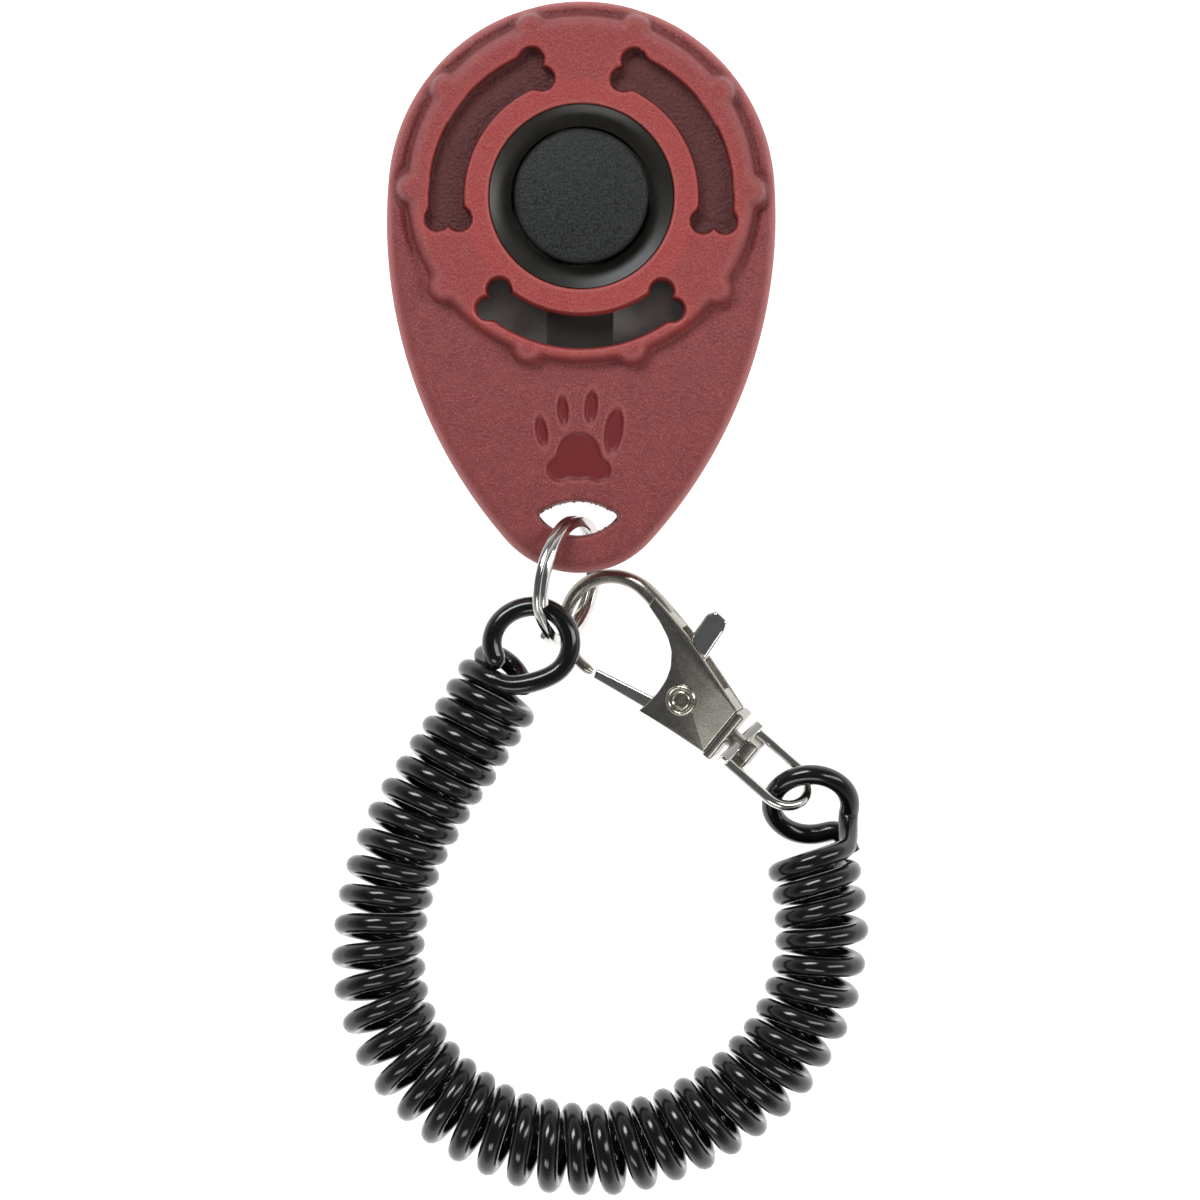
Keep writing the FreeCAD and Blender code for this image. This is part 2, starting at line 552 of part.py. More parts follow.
def makeClicker():
    # The strip is a shallow arch: its ends lie on the holder and its crown is under the plunger tip.
    body = doc.addObject("PartDesign::Body", "click_strip")
    arch = newSketch(body, "StripArch", "XZ_Plane")
    arch_radius = "((strip_bend ^ 2 + strip_crown ^ 2) / (2 * strip_crown))"
    low, high = "holder_top", "(holder_top + strip_thick)"
    outlineOn(arch, [
        ("-strip_half", low), ("-strip_bend", low, arch_radius, False), ("strip_bend", low),
        ("strip_half", low), ("strip_half", high), ("strip_bend", high, arch_radius, True),
        ("-strip_bend", high), ("-strip_half", high),
    ])
    pad(body, "StripPad", arch, "strip_width", symmetric=True)
    subpart(place(body, 0, "dial_y"), "click_strip")

    foot = "(floor_wall + strike_thick)"
    frame = centredBox("HolderFrame", "2 * holder_half", "holder_width", f"holder_top - {foot}",
                       "-holder_half", "dial_y", f"({foot} + holder_top) / 2")
    gap = centredBox("HolderGap", "2 * holder_gap", "holder_width - 2 * holder_rail", "holder_top + 2",
                     "-holder_gap", "dial_y", "holder_top / 2 + 1")
    rivetX = "(-strip_half + clamp_length / 2)"
    bottom = "(holder_top - rivet_depth)"
    head_z = "(holder_top + strip_thick + clamp_thick)"
    rivets = []
    ways = []
    for index, side in enumerate((-1, 1)):
        y = f"dial_y + {side} * rivet_pitch / 2"
        shank = cylinder(f"RivetShank{index}", "rivet_radius", f"{head_z} - {bottom}", rivetX, y, bottom)
        head = cylinder(f"RivetHead{index}", "rivet_head", "rivet_head_thick", rivetX, y, head_z)
        rivets.append(fuse(f"Rivet{index}", [shank, head]))
        ways.append(cylinder(f"RivetWay{index}", "rivet_radius", f"{head_z} - {bottom}", rivetX, y, bottom))
    holder = cut("strip_holder", frame, fuse("HolderTools", [gap] + ways))
    subpart(holder, "strip_holder")
    group = doc.addObject("Part::Compound", "strip_rivets")
    group.Links = rivets
    subpart(group, "strip_rivets")
    clamp = centredBox("ClampPlate", "clamp_length", "clamp_width", "clamp_thick", "-strip_half", "dial_y",
                       "holder_top + strip_thick + clamp_thick / 2")
    subpart(cut("strip_clamp", clamp, fuse("ClampTools", ways)), "strip_clamp")
    subpart(box("strike_plate", "2 * strike_half", "strike_high - strike_low", "strike_thick",
                "-strike_half", "strike_low", "floor_wall"), "strike_plate")
    # The strip is drilled for its rivets.
    holes = newSketch(body, "StripHoles", "XY_Plane", "holder_top - 1")
    for index, side in enumerate((-1, 1)):
        circleOn(holes, f"hole{index}", "rivet_radius", rivetX, f"{side} * rivet_pitch / 2")
    doc.recompute()
    pocket(body, "StripDrill", holes, symmetric=True)


makeDish()
makeButton()
makeClicker()


# Split ring: two flat turns side by side, with a groove where they meet
def makeRing():
    half = "ring_width / 2"
    body = revolve("split_ring", [
        ("ring_inner", f"-{half}"), ("ring_outer", f"-{half}"), ("ring_outer", "-ring_groove / 2"),
        ("ring_outer - ring_groove", 0), ("ring_outer", "ring_groove / 2"), ("ring_outer", half),
        ("ring_inner", half), ("ring_inner", "ring_groove / 2"), ("ring_inner + ring_groove", 0),
        ("ring_inner", "-ring_groove / 2"),
    ])
    turn = Rotation(value("ring_heading"), 0, value("ring_roll"))
    subpart(place(body, "ring_x", "ring_y", "ring_z", turn), "split_ring")


# Wrist band: one fat tube of the coil's outer size, and a plain loop at each end
def makeBand():
    points = [Vector(x, y + value("chain_y"), value("coil_outer")) for x, y in band_route]
    edges = []
    radii = []
    at = points[0]
    for before, corner, after in zip(points, points[1:], points[2:]):
        way_in = corner - before
        way_out = after - corner
        half = way_in.getAngle(way_out) / 2
        reach = 0.45 * min(way_in.Length, way_out.Length)
        radii.append(reach / math.tan(half))
        start = corner - way_in.normalize() * reach
        end = corner + way_out.normalize() * reach
        inward = (way_out - way_in).normalize()
        middle = corner + inward * (radii[-1] / math.cos(half) - radii[-1])
        edges.append(Part.LineSegment(at, start).toShape())
        edges.append(Part.Arc(start, middle, end).toShape())
        at = end
    edges.append(Part.LineSegment(at, points[-1]).toShape())
    path = Part.Wire(edges)
    heading = (points[1] - points[0]).normalize()
    section = Part.Wire(Part.makeCircle(value("coil_outer"), points[0], heading))
    tube = path.makePipeShell([section], True, False)
    expected = math.pi * value("coil_outer") ** 2 * path.Length
    print("band radii", [round(radius, 1) for radius in radii])
    print("band length", round(path.Length, 2), "tube volume over section times length",
          round(tube.Volume / expected, 4))
    coil = doc.addObject("Part::Feature", "wrist_coil")
    coil.Shape = tube
    subpart(coil, "wrist_coil")

    # Each loop's tail runs from the loop to the end face of the tube.
    ends = (("loop_ring_end", "near", "loop_near", points[0], 0),
            ("loop_clasp_end", "far", "loop_far", points[-1], value("far_tilt")))
    for label, end, radius, face, tilt in ends:
        centre = Vector(value(end + "_x"), value(end + "_y"), value(end + "_z"))
        lean = Rotation(Vector(1, 0, 0), tilt)
        ring = torus(label + "_ring", radius, "cord_radius", end + "_x", end + "_y", end + "_z", lean)
        out = lean.multVec(Vector(face.x - centre.x, face.y - centre.y, 0).normalize())
        foot = centre + out * value(radius)
        away = points[0] - points[1] if face is points[0] else points[-1] - points[-2]
        away.normalize()
        gap = (foot - face).dot(away)
        tail = cylinder(label + "_tail", "cord_radius", gap)
        tail.Placement = Placement(foot, Rotation(Vector(0, 0, 1), -away))
        for axis in "xyz":
            tail.setExpression("Placement.Base." + axis, None)
        subpart(fuse(label, [ring, tail]), label)


# Lobster clasp, in its own frame: origin at the rivet, +X to the hook's end, +Y to the gate
def makeClasp():
    frame = Placement(Vector(value("clasp_x"), value("clasp_y"), value("clasp_z")),
                      Rotation(value("clasp_heading"), value("clasp_pitch"), value("clasp_roll")))
    sideways = Rotation(Vector(0, 1, 0), -90)

    body = doc.addObject("PartDesign::Body", "ClaspPlate")
    cheeks = newSketch(body, "Cheeks", "XY_Plane")
    outlineOn(cheeks, [("collar_front", -3.5), (4.0, -6.3), (6.6, -6.7), (6.4, -4.7), (4.9, -3.4), (3.7, -1.2),
                       (3.2, 1.5), (3.1, 4.3), ("collar_front", 3.1)])
    pad(body, "CheekPad", cheeks, "body_thick", symmetric=True)
    arm = newSketch(body, "Arm", "XY_Plane")
    outlineOn(arm, [(5.8, -6.58), ("hook_x", "hook_y - hook_radius - hook_wire"),
                    ("hook_x", "hook_y - hook_radius + hook_wire"), (6.2, -4.6)])
    pad(body, "ArmPad", arm, "arm_thick", symmetric=True)
    doc.recompute()
    slot = newSketch(body, "Channel", "XY_Plane")
    outlineOn(slot, [("stud_inner", -8), (5.2, -8), (5.2, 6), ("stud_inner", 6)])
    pocket(body, "ChannelCut", slot, "channel", symmetric=True)

    hook = torus("HookBend", "hook_radius", "hook_wire", "hook_x", "hook_y", 0,
                 Rotation(Vector(0, 0, 1), -90), "hook_sweep")
    collar = centredBox("Collar", "collar_front - collar_back", "collar_wide", "body_thick + 2 * collar_step",
                        "collar_back", "swivel_y", 0)
    studWay = cylinder("StudWay", "stud_radius", "stud_inner - collar_back + 2",
                       "stud_inner + 1", "swivel_y", 0, sideways)
    pinWay = cylinder("PinWay", "pin_radius", "body_thick + 2", 0, 0, "-body_thick / 2 - 1")
    whole = cut("hook_body", fuse("HookSolid", [body, hook, collar]), fuse("HookTools", [studWay, pinWay]))
    whole.Placement = frame
    subpart(whole, "hook_body")

    lever = doc.addObject("PartDesign::Body", "gate_lever")
    shape = newSketch(lever, "LeverOutline", "XY_Plane")
    outlineOn(shape, [(1.2, -10.4), (3.6, -10.6), (4.0, -6.0), (2.4, -1.2), (2.2, 1.9), (10.05, 4.15),
                      (9.6, 5.3), (1.6, 3.6), (-0.9, 1.9), (-1.9, 0.2), (-1.2, -2.0), (0.6, -5.0)])
    pad(lever, "LeverPad", shape, "lever_thick", symmetric=True)
    doc.recompute()
    pivot = newSketch(lever, "LeverBore", "XY_Plane")
    circleOn(pivot, "bore", "pin_radius + pin_fit")
    pocket(lever, "LeverBoreCut", pivot, symmetric=True)
    seat = newSketch(lever, "SpringSeat", "XY_Plane", "lever_thick / 2")
    circleOn(seat, "seat", "spring_radius + spring_seat_room")
    pocket(lever, "SpringSeatCut", seat, "spring_pocket")
    lever.Placement = frame
    subpart(lever, "gate_lever")

    heads = [cylinder("PinHeadTop", "pin_head", "pin_head_thick", 0, 0, "body_thick / 2"),
             cylinder("PinHeadBack", "pin_head", "pin_head_thick", 0, 0, "-body_thick / 2 - pin_head_thick")]
    shank = cylinder("PinShank", "pin_radius", "body_thick + pin_head_thick", 0, 0,
                     "-(body_thick + pin_head_thick) / 2")
    dimple = cylinder("PinDimple", "pin_dimple", "pin_head_thick", 0, 0,
                      "body_thick / 2 + pin_head_thick - dimple_deep")
    rivet = cut("gate_rivet", fuse("PinSolid", heads + [shank]), dimple)
    rivet.Placement = frame
    subpart(rivet, "gate_rivet")

    # One and a half turns of fine wire round the rivet, in the lever's seat
    helix = doc.addObject("Part::Helix", "SpringLine")
    bind(helix, "Pitch", "spring_pitch")
    bind(helix, "Height", "spring_pitch * spring_turns")
    bind(helix, "Radius", "spring_radius")
    floor = value("lever_thick / 2 - spring_pocket + spring_wire + spring_lift")
    helix.Placement = Placement(Vector(0, 0, floor), Rotation())
    wire = doc.addObject("Part::Circle", "SpringSection")
    bind(wire, "Radius", "spring_wire")
    wire.Placement = Placement(Vector(value("spring_radius"), 0, floor), Rotation(Vector(1, 0, 0), 90))
    spring = doc.addObject("Part::Sweep", "gate_spring")
    spring.Sections = [wire]
    spring.Spine = (helix, [])
    spring.Solid = True
    spring.Frenet = True
    spring.Placement = frame
    subpart(spring, "gate_spring")

    pin = cylinder("StudShank", "stud_radius", "stud_inner - stud_head_x",
                   "stud_inner", "swivel_y", 0, sideways)
    head = centredBox("StudHead", "stud_head_long", "stud_head_wide", "stud_head_thick",
                      "stud_head_x - stud_head_long", "swivel_y", 0)
    stud = fuse("swivel_stud", [pin, head])
    stud.Placement = frame
    subpart(stud, "swivel_stud")

    # The eye turns about the stud: a drilled base, two legs and a round end
    turned = frame * Placement(Vector(0, value("swivel_y"), 0), Rotation(Vector(1, 0, 0), value("eye_turn")))
    base = centredBox("EyeBase", "eye_base_thick", "2 * (eye_half + eye_wire)", "eye_base_height",
                      "eye_base_x", 0, 0)
    legs = [cylinder(f"EyeLeg{index}", "eye_wire", "eye_base_x + eye_base_thick / 2 - eye_bend_x",
                     "eye_base_x + eye_base_thick / 2", f"{side} * eye_half", 0, sideways)
            for index, side in enumerate((-1, 1))]
    bend = torus("EyeBend", "eye_half", "eye_wire", "eye_bend_x", 0, 0, Rotation(Vector(0, 0, 1), 90), 180)
    hole = cylinder("EyeBore", "stud_radius + eye_fit", "eye_base_thick + 2",
                    "eye_base_x + eye_base_thick + 1", 0, 0, sideways)
    eye = cut("swivel_eye", fuse("EyeSolid", [base, bend] + legs), hole)
    eye.Placement = turned
    subpart(eye, "swivel_eye")


makeRing()
makeBand()
makeClasp()
doc.recompute()

for thing in doc.Objects:
    if "Invalid" in thing.State or "Error" in thing.State:
        raise RuntimeError(f"{thing.Label} failed: {thing.State}")
for thing in subparts:
    if thing.Shape.isNull() or not thing.Shape.isValid():
        raise RuntimeError(f"{thing.Label} has no valid shape")

os.makedirs("parts", exist_ok=True)
for thing in subparts:
    thing.Shape.exportStep(f"parts/{thing.Label}.step")
    spread = thing.Shape.BoundBox
    print(f"{thing.Label}: {len(thing.Shape.Solids)} solid(s), {thing.Shape.Volume:.2f} mm3,",
          f"z {spread.ZMin:.2f} to {spread.ZMax:.2f}")
print(len(subparts), "sub-parts")
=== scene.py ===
import math

import bpy
import numpy as np
from mathutils import Matrix, Vector


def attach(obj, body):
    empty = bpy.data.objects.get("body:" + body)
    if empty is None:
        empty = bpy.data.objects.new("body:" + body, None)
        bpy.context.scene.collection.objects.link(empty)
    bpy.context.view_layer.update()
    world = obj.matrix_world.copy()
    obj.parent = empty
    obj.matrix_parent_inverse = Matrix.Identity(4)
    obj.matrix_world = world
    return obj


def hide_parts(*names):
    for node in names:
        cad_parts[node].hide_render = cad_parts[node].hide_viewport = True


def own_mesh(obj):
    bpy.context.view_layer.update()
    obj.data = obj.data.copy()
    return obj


# Clicker trainer: egg-shaped casing with a push button, split ring, curly wrist band and lobster clasp.
# Sizes are in millimetres unless a note says otherwise, and become metres where a mesh is made.

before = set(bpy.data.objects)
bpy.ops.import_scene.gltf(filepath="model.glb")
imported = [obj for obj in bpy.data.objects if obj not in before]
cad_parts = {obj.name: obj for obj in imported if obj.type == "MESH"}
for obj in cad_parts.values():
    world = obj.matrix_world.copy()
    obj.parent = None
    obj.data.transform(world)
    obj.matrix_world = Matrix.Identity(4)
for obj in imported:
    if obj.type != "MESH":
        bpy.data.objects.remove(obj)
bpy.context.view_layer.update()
mm = 0.001
print("frame loaded:", len(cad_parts), "nodes")


# Camera: straight above, with a long lens.
shot = {
    "centre": (2.57, -35.56, 7.0),
    "width": 136.84,
    "away": 900.0,
    "turn": 0.01,  # radians about the line of sight
    "sensor": 36.0,
}


def makeCamera():
    data = bpy.data.cameras.new("shotCamera")
    data.sensor_width = shot["sensor"]
    data.lens = shot["sensor"] * shot["away"] / shot["width"]
    data.clip_start = 0.05
    data.clip_end = 10.0
    camera = bpy.data.objects.new("shotCamera", data)
    x, y, z = shot["centre"]
    camera.location = (x * mm, y * mm, (z + shot["away"]) * mm)
    camera.rotation_euler = (0, 0, shot["turn"])
    bpy.context.scene.collection.objects.link(camera)
    bpy.context.scene.camera = camera


makeCamera()


# Small helpers.
nearAxis = 0.02  # a turned profile starts this far from its axis
outline = {"mostReach": 0.48, "cut": 0.25, "leastGap": 0.01}


def unit(way):
    return way / np.linalg.norm(way)


def addMesh(name, points, faces):
    mesh = bpy.data.meshes.new(name)
    mesh.from_pydata([tuple(float(c) * mm for c in p) for p in points], [], faces)
    mesh.update()
    mesh.polygons.foreach_set("use_smooth", [True] * len(mesh.polygons))
    piece = bpy.data.objects.new(name, mesh)
    bpy.context.scene.collection.objects.link(piece)
    return piece


def settle(piece, body, replaced, material):
    # Gives a finished piece its body, the parts it stands for, its slot and its look.
    piece.data.materials.clear()
    piece.data.materials.append(material)
    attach(piece, body)
    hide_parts(*replaced)


def joined(parts):
    # One list of points and one of faces from several.
    points, faces = [], []
    for morePoints, moreFaces in parts:
        start = len(points)
        points += [tuple(p) for p in morePoints]
        faces += [tuple(start + i for i in face) for face in moreFaces]
    return points, faces


def moved(shape, matrix):
    points, faces = shape
    return [tuple(matrix @ Vector(p)) for p in points], faces


def placing(x, y, z, yaw, pitch, roll):
    # Turned about the fixed x, y and z axes in that order, then moved.
    turn = (Matrix.Rotation(math.radians(yaw), 4, "Z") @ Matrix.Rotation(math.radians(pitch), 4, "Y")
            @ Matrix.Rotation(math.radians(roll), 4, "X"))
    return Matrix.Translation((x, y, z)) @ turn


def roundedOutline(corners, rounds=3):
    # A closed outline from corners (x, y, size of the rounding), cut back again and again.
    line = []
    count = len(corners)
    for i, (x, y, size) in enumerate(corners):
        here = np.array([x, y])
        for other in (corners[i - 1], corners[(i + 1) % count]):
            way = np.array(other[:2]) - here
            reach = min(size, outline["mostReach"] * np.linalg.norm(way))
            line.append(here + unit(way) * reach)
            if other is corners[i - 1]:
                line.append(here)
    line = np.array(line)
    for _ in range(rounds):
        after = np.roll(line, -1, axis=0)
        step = outline["cut"] * (after - line)
        line = np.stack([line + step, after - step], axis=1).reshape(-1, 2)
    gaps = np.linalg.norm(line - np.roll(line, 1, axis=0), axis=1)
    return line[gaps > outline["leastGap"]]


def plateShape(corners, low, high, edge, steps=3):
    # A flat piece between two heights, its edges rounded.
    line = roundedOutline(corners)
    ways = np.roll(line, -1, axis=0) - np.roll(line, 1, axis=0)
    area = np.sum(line[:, 0] * np.roll(line[:, 1], -1) - line[:, 1] * np.roll(line[:, 0], -1))
    inward = np.stack([-ways[:, 1], ways[:, 0]], axis=1) * (1 if area > 0 else -1)
    inward /= np.linalg.norm(inward, axis=1)[:, None]
    rings = []
    for i in range(steps + 1):
        a = math.pi / 2 * i / steps
        rings.append((edge * (1 - math.sin(a)), low + edge * (1 - math.cos(a))))
    rings += [(inset, low + high - level) for inset, level in reversed(rings)]
    points, count = [], len(line)
    for inset, level in rings:
        points += [(x, y, level) for x, y in line + inward * inset]
    faces = []
    for r in range(len(rings) - 1):
        for i in range(count):
            j = (i + 1) % count
            quad = (r * count + i, r * count + j, (r + 1) * count + j, (r + 1) * count + i)
            faces.append(quad if area > 0 else quad[::-1])
    bottom = tuple(range(count))
    top = tuple(range((len(rings) - 1) * count, len(rings) * count))
    faces += [bottom[::-1], top] if area > 0 else [bottom, top[::-1]]
    return points, faces


def sweptShape(path, sections, side):
    # Sections (across, up) carried along a path, the last one to its end.
    # side gives the across way at each point.
    path, side = np.array(path, float), np.array(side, float)
    along = np.gradient(path, axis=0)
    along /= np.linalg.norm(along, axis=1)[:, None]
    side = side - along * np.sum(side * along, axis=1)[:, None]
    side /= np.linalg.norm(side, axis=1)[:, None]
    up = np.cross(along, side)
    count = len(sections[0])
    points, faces = [], []
    for i in range(len(path)):
        for across, high in sections[min(i, len(sections) - 1)]:
            points.append(tuple(path[i] + side[i] * across + up[i] * high))
    for i in range(len(path) - 1):
        for j in range(count):
            k = (j + 1) % count
            faces.append((i * count + j, i * count + k, (i + 1) * count + k, (i + 1) * count + j))
    faces.append(tuple(range(count))[::-1])
    faces.append(tuple(range((len(path) - 1) * count, len(path) * count)))
    return points, faces


def ovalSection(across, up, sides=20):
    return [(across * math.cos(2 * math.pi * i / sides), up * math.sin(2 * math.pi * i / sides))
            for i in range(sides)]


def latheShape(profile, sides=64):
    # A profile (radius, height) turned about the z axis.
    points, faces = [], []
    for radius, height in profile:
        for i in range(sides):
            a = 2 * math.pi * i / sides
            points.append((radius * math.cos(a), radius * math.sin(a), height))
    for r in range(len(profile) - 1):
        for i in range(sides):
            j = (i + 1) % sides
            faces.append((r * sides + i, r * sides + j, (r + 1) * sides + j, (r + 1) * sides + i))
    faces.append(tuple(range(sides))[::-1])
    faces.append(tuple(range((len(profile) - 1) * sides, len(profile) * sides)))
    return points, faces


def creased(piece, degrees=35):
    # Smooth shading that keeps the corners sharper than this.
    piece.data.set_sharp_from_angle(angle=math.radians(degrees))
    return piece


def steady(value, low, high):
    # From 0 to 1 between two values, level at both.
    t = np.clip((value - low) / (high - low), 0, 1)
    return t * t * (3 - 2 * t)


def bell(value, share, at, width):
    return share * np.exp(-((value - at) / width) ** 2)


def softMax(a, b, blend):
    h = np.clip(0.5 + 0.5 * (a - b) / blend, 0, 1)
    return b * (1 - h) + a * h + blend * h * (1 - h)


def softMin(a, b, blend):
    return -softMax(-a, -b, blend)


# Materials, each built from nodes.
def nodeInto(tree, kind, **sockets):
    node = tree.nodes.new(kind)
    for key, value in sockets.items():
        node.inputs[key.replace("_", " ")].default_value = value
    return node


def newMaterial(name):
    material = bpy.data.materials.new(name)
    material.use_nodes = True
    return material, material.node_tree, material.node_tree.nodes["Principled BSDF"]


def rampInto(tree, source, edges, colours):
    # A colour ramp between two positions.
    ramp = tree.nodes.new("ShaderNodeValToRGB")
    for stop, edge, colour in zip(ramp.color_ramp.elements, edges, colours):
        stop.position = edge
        stop.color = (*colour, 1)
    tree.links.new(source, ramp.inputs["Fac"])
    return ramp.outputs["Color"]


def rangeInto(tree, source, given, wanted):
    # One range of a value mapped to another.
    spread = tree.nodes.new("ShaderNodeMapRange")
    for socket, value in zip(("From Min", "From Max", "To Min", "To Max"), (*given, *wanted)):
        spread.inputs[socket].default_value = value
    tree.links.new(source, spread.inputs["Value"])
    return spread.outputs["Result"]


def mixInto(tree, share, under, colour):
    # A plain colour laid over another by a share.
    mix = tree.nodes.new("ShaderNodeMix")
    mix.data_type = "RGBA"
    tree.links.new(share, mix.inputs["Factor"])
    tree.links.new(under, mix.inputs["A"])
    mix.inputs["B"].default_value = (*colour, 1)
    return mix.outputs["Result"]


def mathInto(tree, operation, *values):
    # A sum on sockets and plain numbers.
    node = tree.nodes.new("ShaderNodeMath")
    node.operation = operation
    for socket, value in zip(node.inputs, values):
        if isinstance(value, bpy.types.NodeSocket):
            tree.links.new(value, socket)
        else:
            socket.default_value = value
    return node


# What the plain finishes share.
finishBase = {
    "mottleEdges": (0.35, 0.65), "mottleDetail": 4.0, "mottleRoughness": 0.6,
    "grainEdges": (0.3, 0.7), "grainDetail": 3.0, "grainRoughness": 0.55,
    "strength": 0.5, "specular": 0.5, "coatRoughness": 0.12,
}


def makeFinish(name, look):
    # A surface with two-tone mottling, uneven roughness and a bump grain, sized in millimetres.
    material, tree, shader = newMaterial(name)
    place = tree.nodes.new("ShaderNodeTexCoord")
    mottle = nodeInto(tree, "ShaderNodeTexNoise", Scale=1 / (look["mottle"] * mm),
                      Detail=finishBase["mottleDetail"], Roughness=finishBase["mottleRoughness"])
    grain = nodeInto(tree, "ShaderNodeTexNoise", Scale=1 / (look["grain"] * mm),
                     Detail=finishBase["grainDetail"], Roughness=finishBase["grainRoughness"])
    for texture in (mottle, grain):
        tree.links.new(place.outputs["Object"], texture.inputs["Vector"])
    colour = rampInto(tree, mottle.outputs["Fac"], finishBase["mottleEdges"], (look["colour"], look["second"]))
    tree.links.new(colour, shader.inputs["Base Color"])
    rough = rangeInto(tree, grain.outputs["Fac"], finishBase["grainEdges"], look["roughness"])
    tree.links.new(rough, shader.inputs["Roughness"])
    bump = nodeInto(tree, "ShaderNodeBump", Strength=look.get("strength", finishBase["strength"]),
                    Distance=look["depth"] * mm)
    tree.links.new(grain.outputs["Fac"], bump.inputs["Height"])
    tree.links.new(bump.outputs["Normal"], shader.inputs["Normal"])
    shader.inputs["Metallic"].default_value = look.get("metallic", 0.0)
    shader.inputs["Specular IOR Level"].default_value = look.get("specular", finishBase["specular"])
    shader.inputs["Coat Weight"].default_value = look.get("coat", 0.0)
    shader.inputs["Coat Roughness"].default_value = finishBase["coatRoughness"]
    return material


finishes = {
    "shellBack": {"colour": (0.165, 0.023, 0.024), "second": (0.215, 0.034, 0.035), "mottle": 2.0,
                  "grain": 0.2, "depth": 0.08, "roughness": (0.38, 0.6)},
    "dishPlastic": {"colour": (0.014, 0.0125, 0.0095), "second": (0.020, 0.018, 0.014), "mottle": 3.0,
                    "grain": 0.25, "depth": 0.010, "roughness": (0.30, 0.40)},
    "buttonRubber": {"colour": (0.003, 0.0035, 0.0035), "second": (0.034, 0.036, 0.036), "mottle": 0.26,
                     "grain": 0.26, "depth": 0.14, "roughness": (0.25, 0.5), "strength": 1.0,
                     "specular": 0.22},
    "cordElastomer": {"colour": (0.003, 0.003, 0.003), "second": (0.006, 0.006, 0.0055), "mottle": 1.5,
                      "grain": 0.5, "depth": 0.010, "roughness": (0.14, 0.22), "coat": 0.35,
                      "specular": 0.35},
    "innerPlastic": {"colour": (0.05, 0.048, 0.045), "second": (0.07, 0.067, 0.062), "mottle": 1.5,
                     "grain": 0.3, "depth": 0.01, "roughness": (0.4, 0.5)},
    "damperFoam": {"colour": (0.10, 0.10, 0.10), "second": (0.16, 0.16, 0.15), "mottle": 0.4,
                   "grain": 0.3, "depth": 0.1, "roughness": (0.8, 0.95)},
    "springSteel": {"colour": (0.60, 0.56, 0.52), "second": (0.78, 0.74, 0.69), "mottle": 5.0,
                    "metallic": 1.0, "grain": 0.9, "depth": 0.002, "roughness": (0.34, 0.42)},
    "screwSteel": {"colour": (0.42, 0.42, 0.42), "second": (0.55, 0.54, 0.52), "mottle": 0.8,
                   "metallic": 1.0, "grain": 0.15, "depth": 0.008, "roughness": (0.28, 0.42)},
    "ringSteel": {"colour": (0.62, 0.61, 0.59), "second": (0.74, 0.72, 0.69), "mottle": 2.0,
                  "metallic": 1.0, "grain": 0.5, "depth": 0.0015, "roughness": (0.10, 0.16)},
    "brightNickel": {"colour": (0.68, 0.66, 0.63), "second": (0.80, 0.78, 0.74), "mottle": 2.5,
                     "metallic": 1.0, "grain": 0.5, "depth": 0.0015, "roughness": (0.10, 0.16)},
    "claspMetal": {"colour": (0.33, 0.31, 0.275), "second": (0.40, 0.375, 0.335), "mottle": 2.2,
                   "metallic": 1.0, "grain": 0.5, "depth": 0.0015, "roughness": (0.24, 0.29)},
    "rivetMetal": {"colour": (0.52, 0.49, 0.42), "second": (0.62, 0.58, 0.50), "mottle": 0.6,
                   "metallic": 1.0, "grain": 0.2, "depth": 0.006, "roughness": (0.16, 0.28)},
}
looks = {name: makeFinish(name, look) for name, look in finishes.items()}


# Moulded shell: a spark-eroded grain, smooth inside the paw print, with painted highlights on its lips and rim
# and painted shade in its recesses.
shellLook = {
    "colour": (0.160, 0.015, 0.016),
    "second": (0.210, 0.026, 0.027),
    "smoothed": (0.145, 0.006, 0.007),
    # Painted highlight colour for the lips of the openings, the plate's shoulder and the outer rim.
    "edgeHighlight": (0.46, 0.115, 0.105),
    # Painted shade colour for the bone recesses and the valley round the plate.
    "hollowShade": (0.070, 0.003, 0.003),
    "polished": (0.310, 0.024, 0.023),
    "peaks": (0.45, 0.130, 0.120),
    "mottle": 2.2, "mottleEdges": (0.3, 0.7), "mottleDetail": 5.0, "mottleRoughness": 0.65,
    "grain": 0.34,
    "fineGrain": 0.14, "fineDetail": 3.0, "fineRoughness": 0.7,
    "peakEdges": (0.50, 0.68), "peakShare": 0.75,
    "shadeCover": 0.75,  # how much of the painted grain highlight the painted shade hides
    "fineShare": 0.6,  # of the fine grain in the bump
    "bumpStrength": (0.85, 0.12),  # on the grain and where it is smooth
    "depth": 0.13,
    "roughness": (0.36, 0.62),
    "specular": 0.5,
}


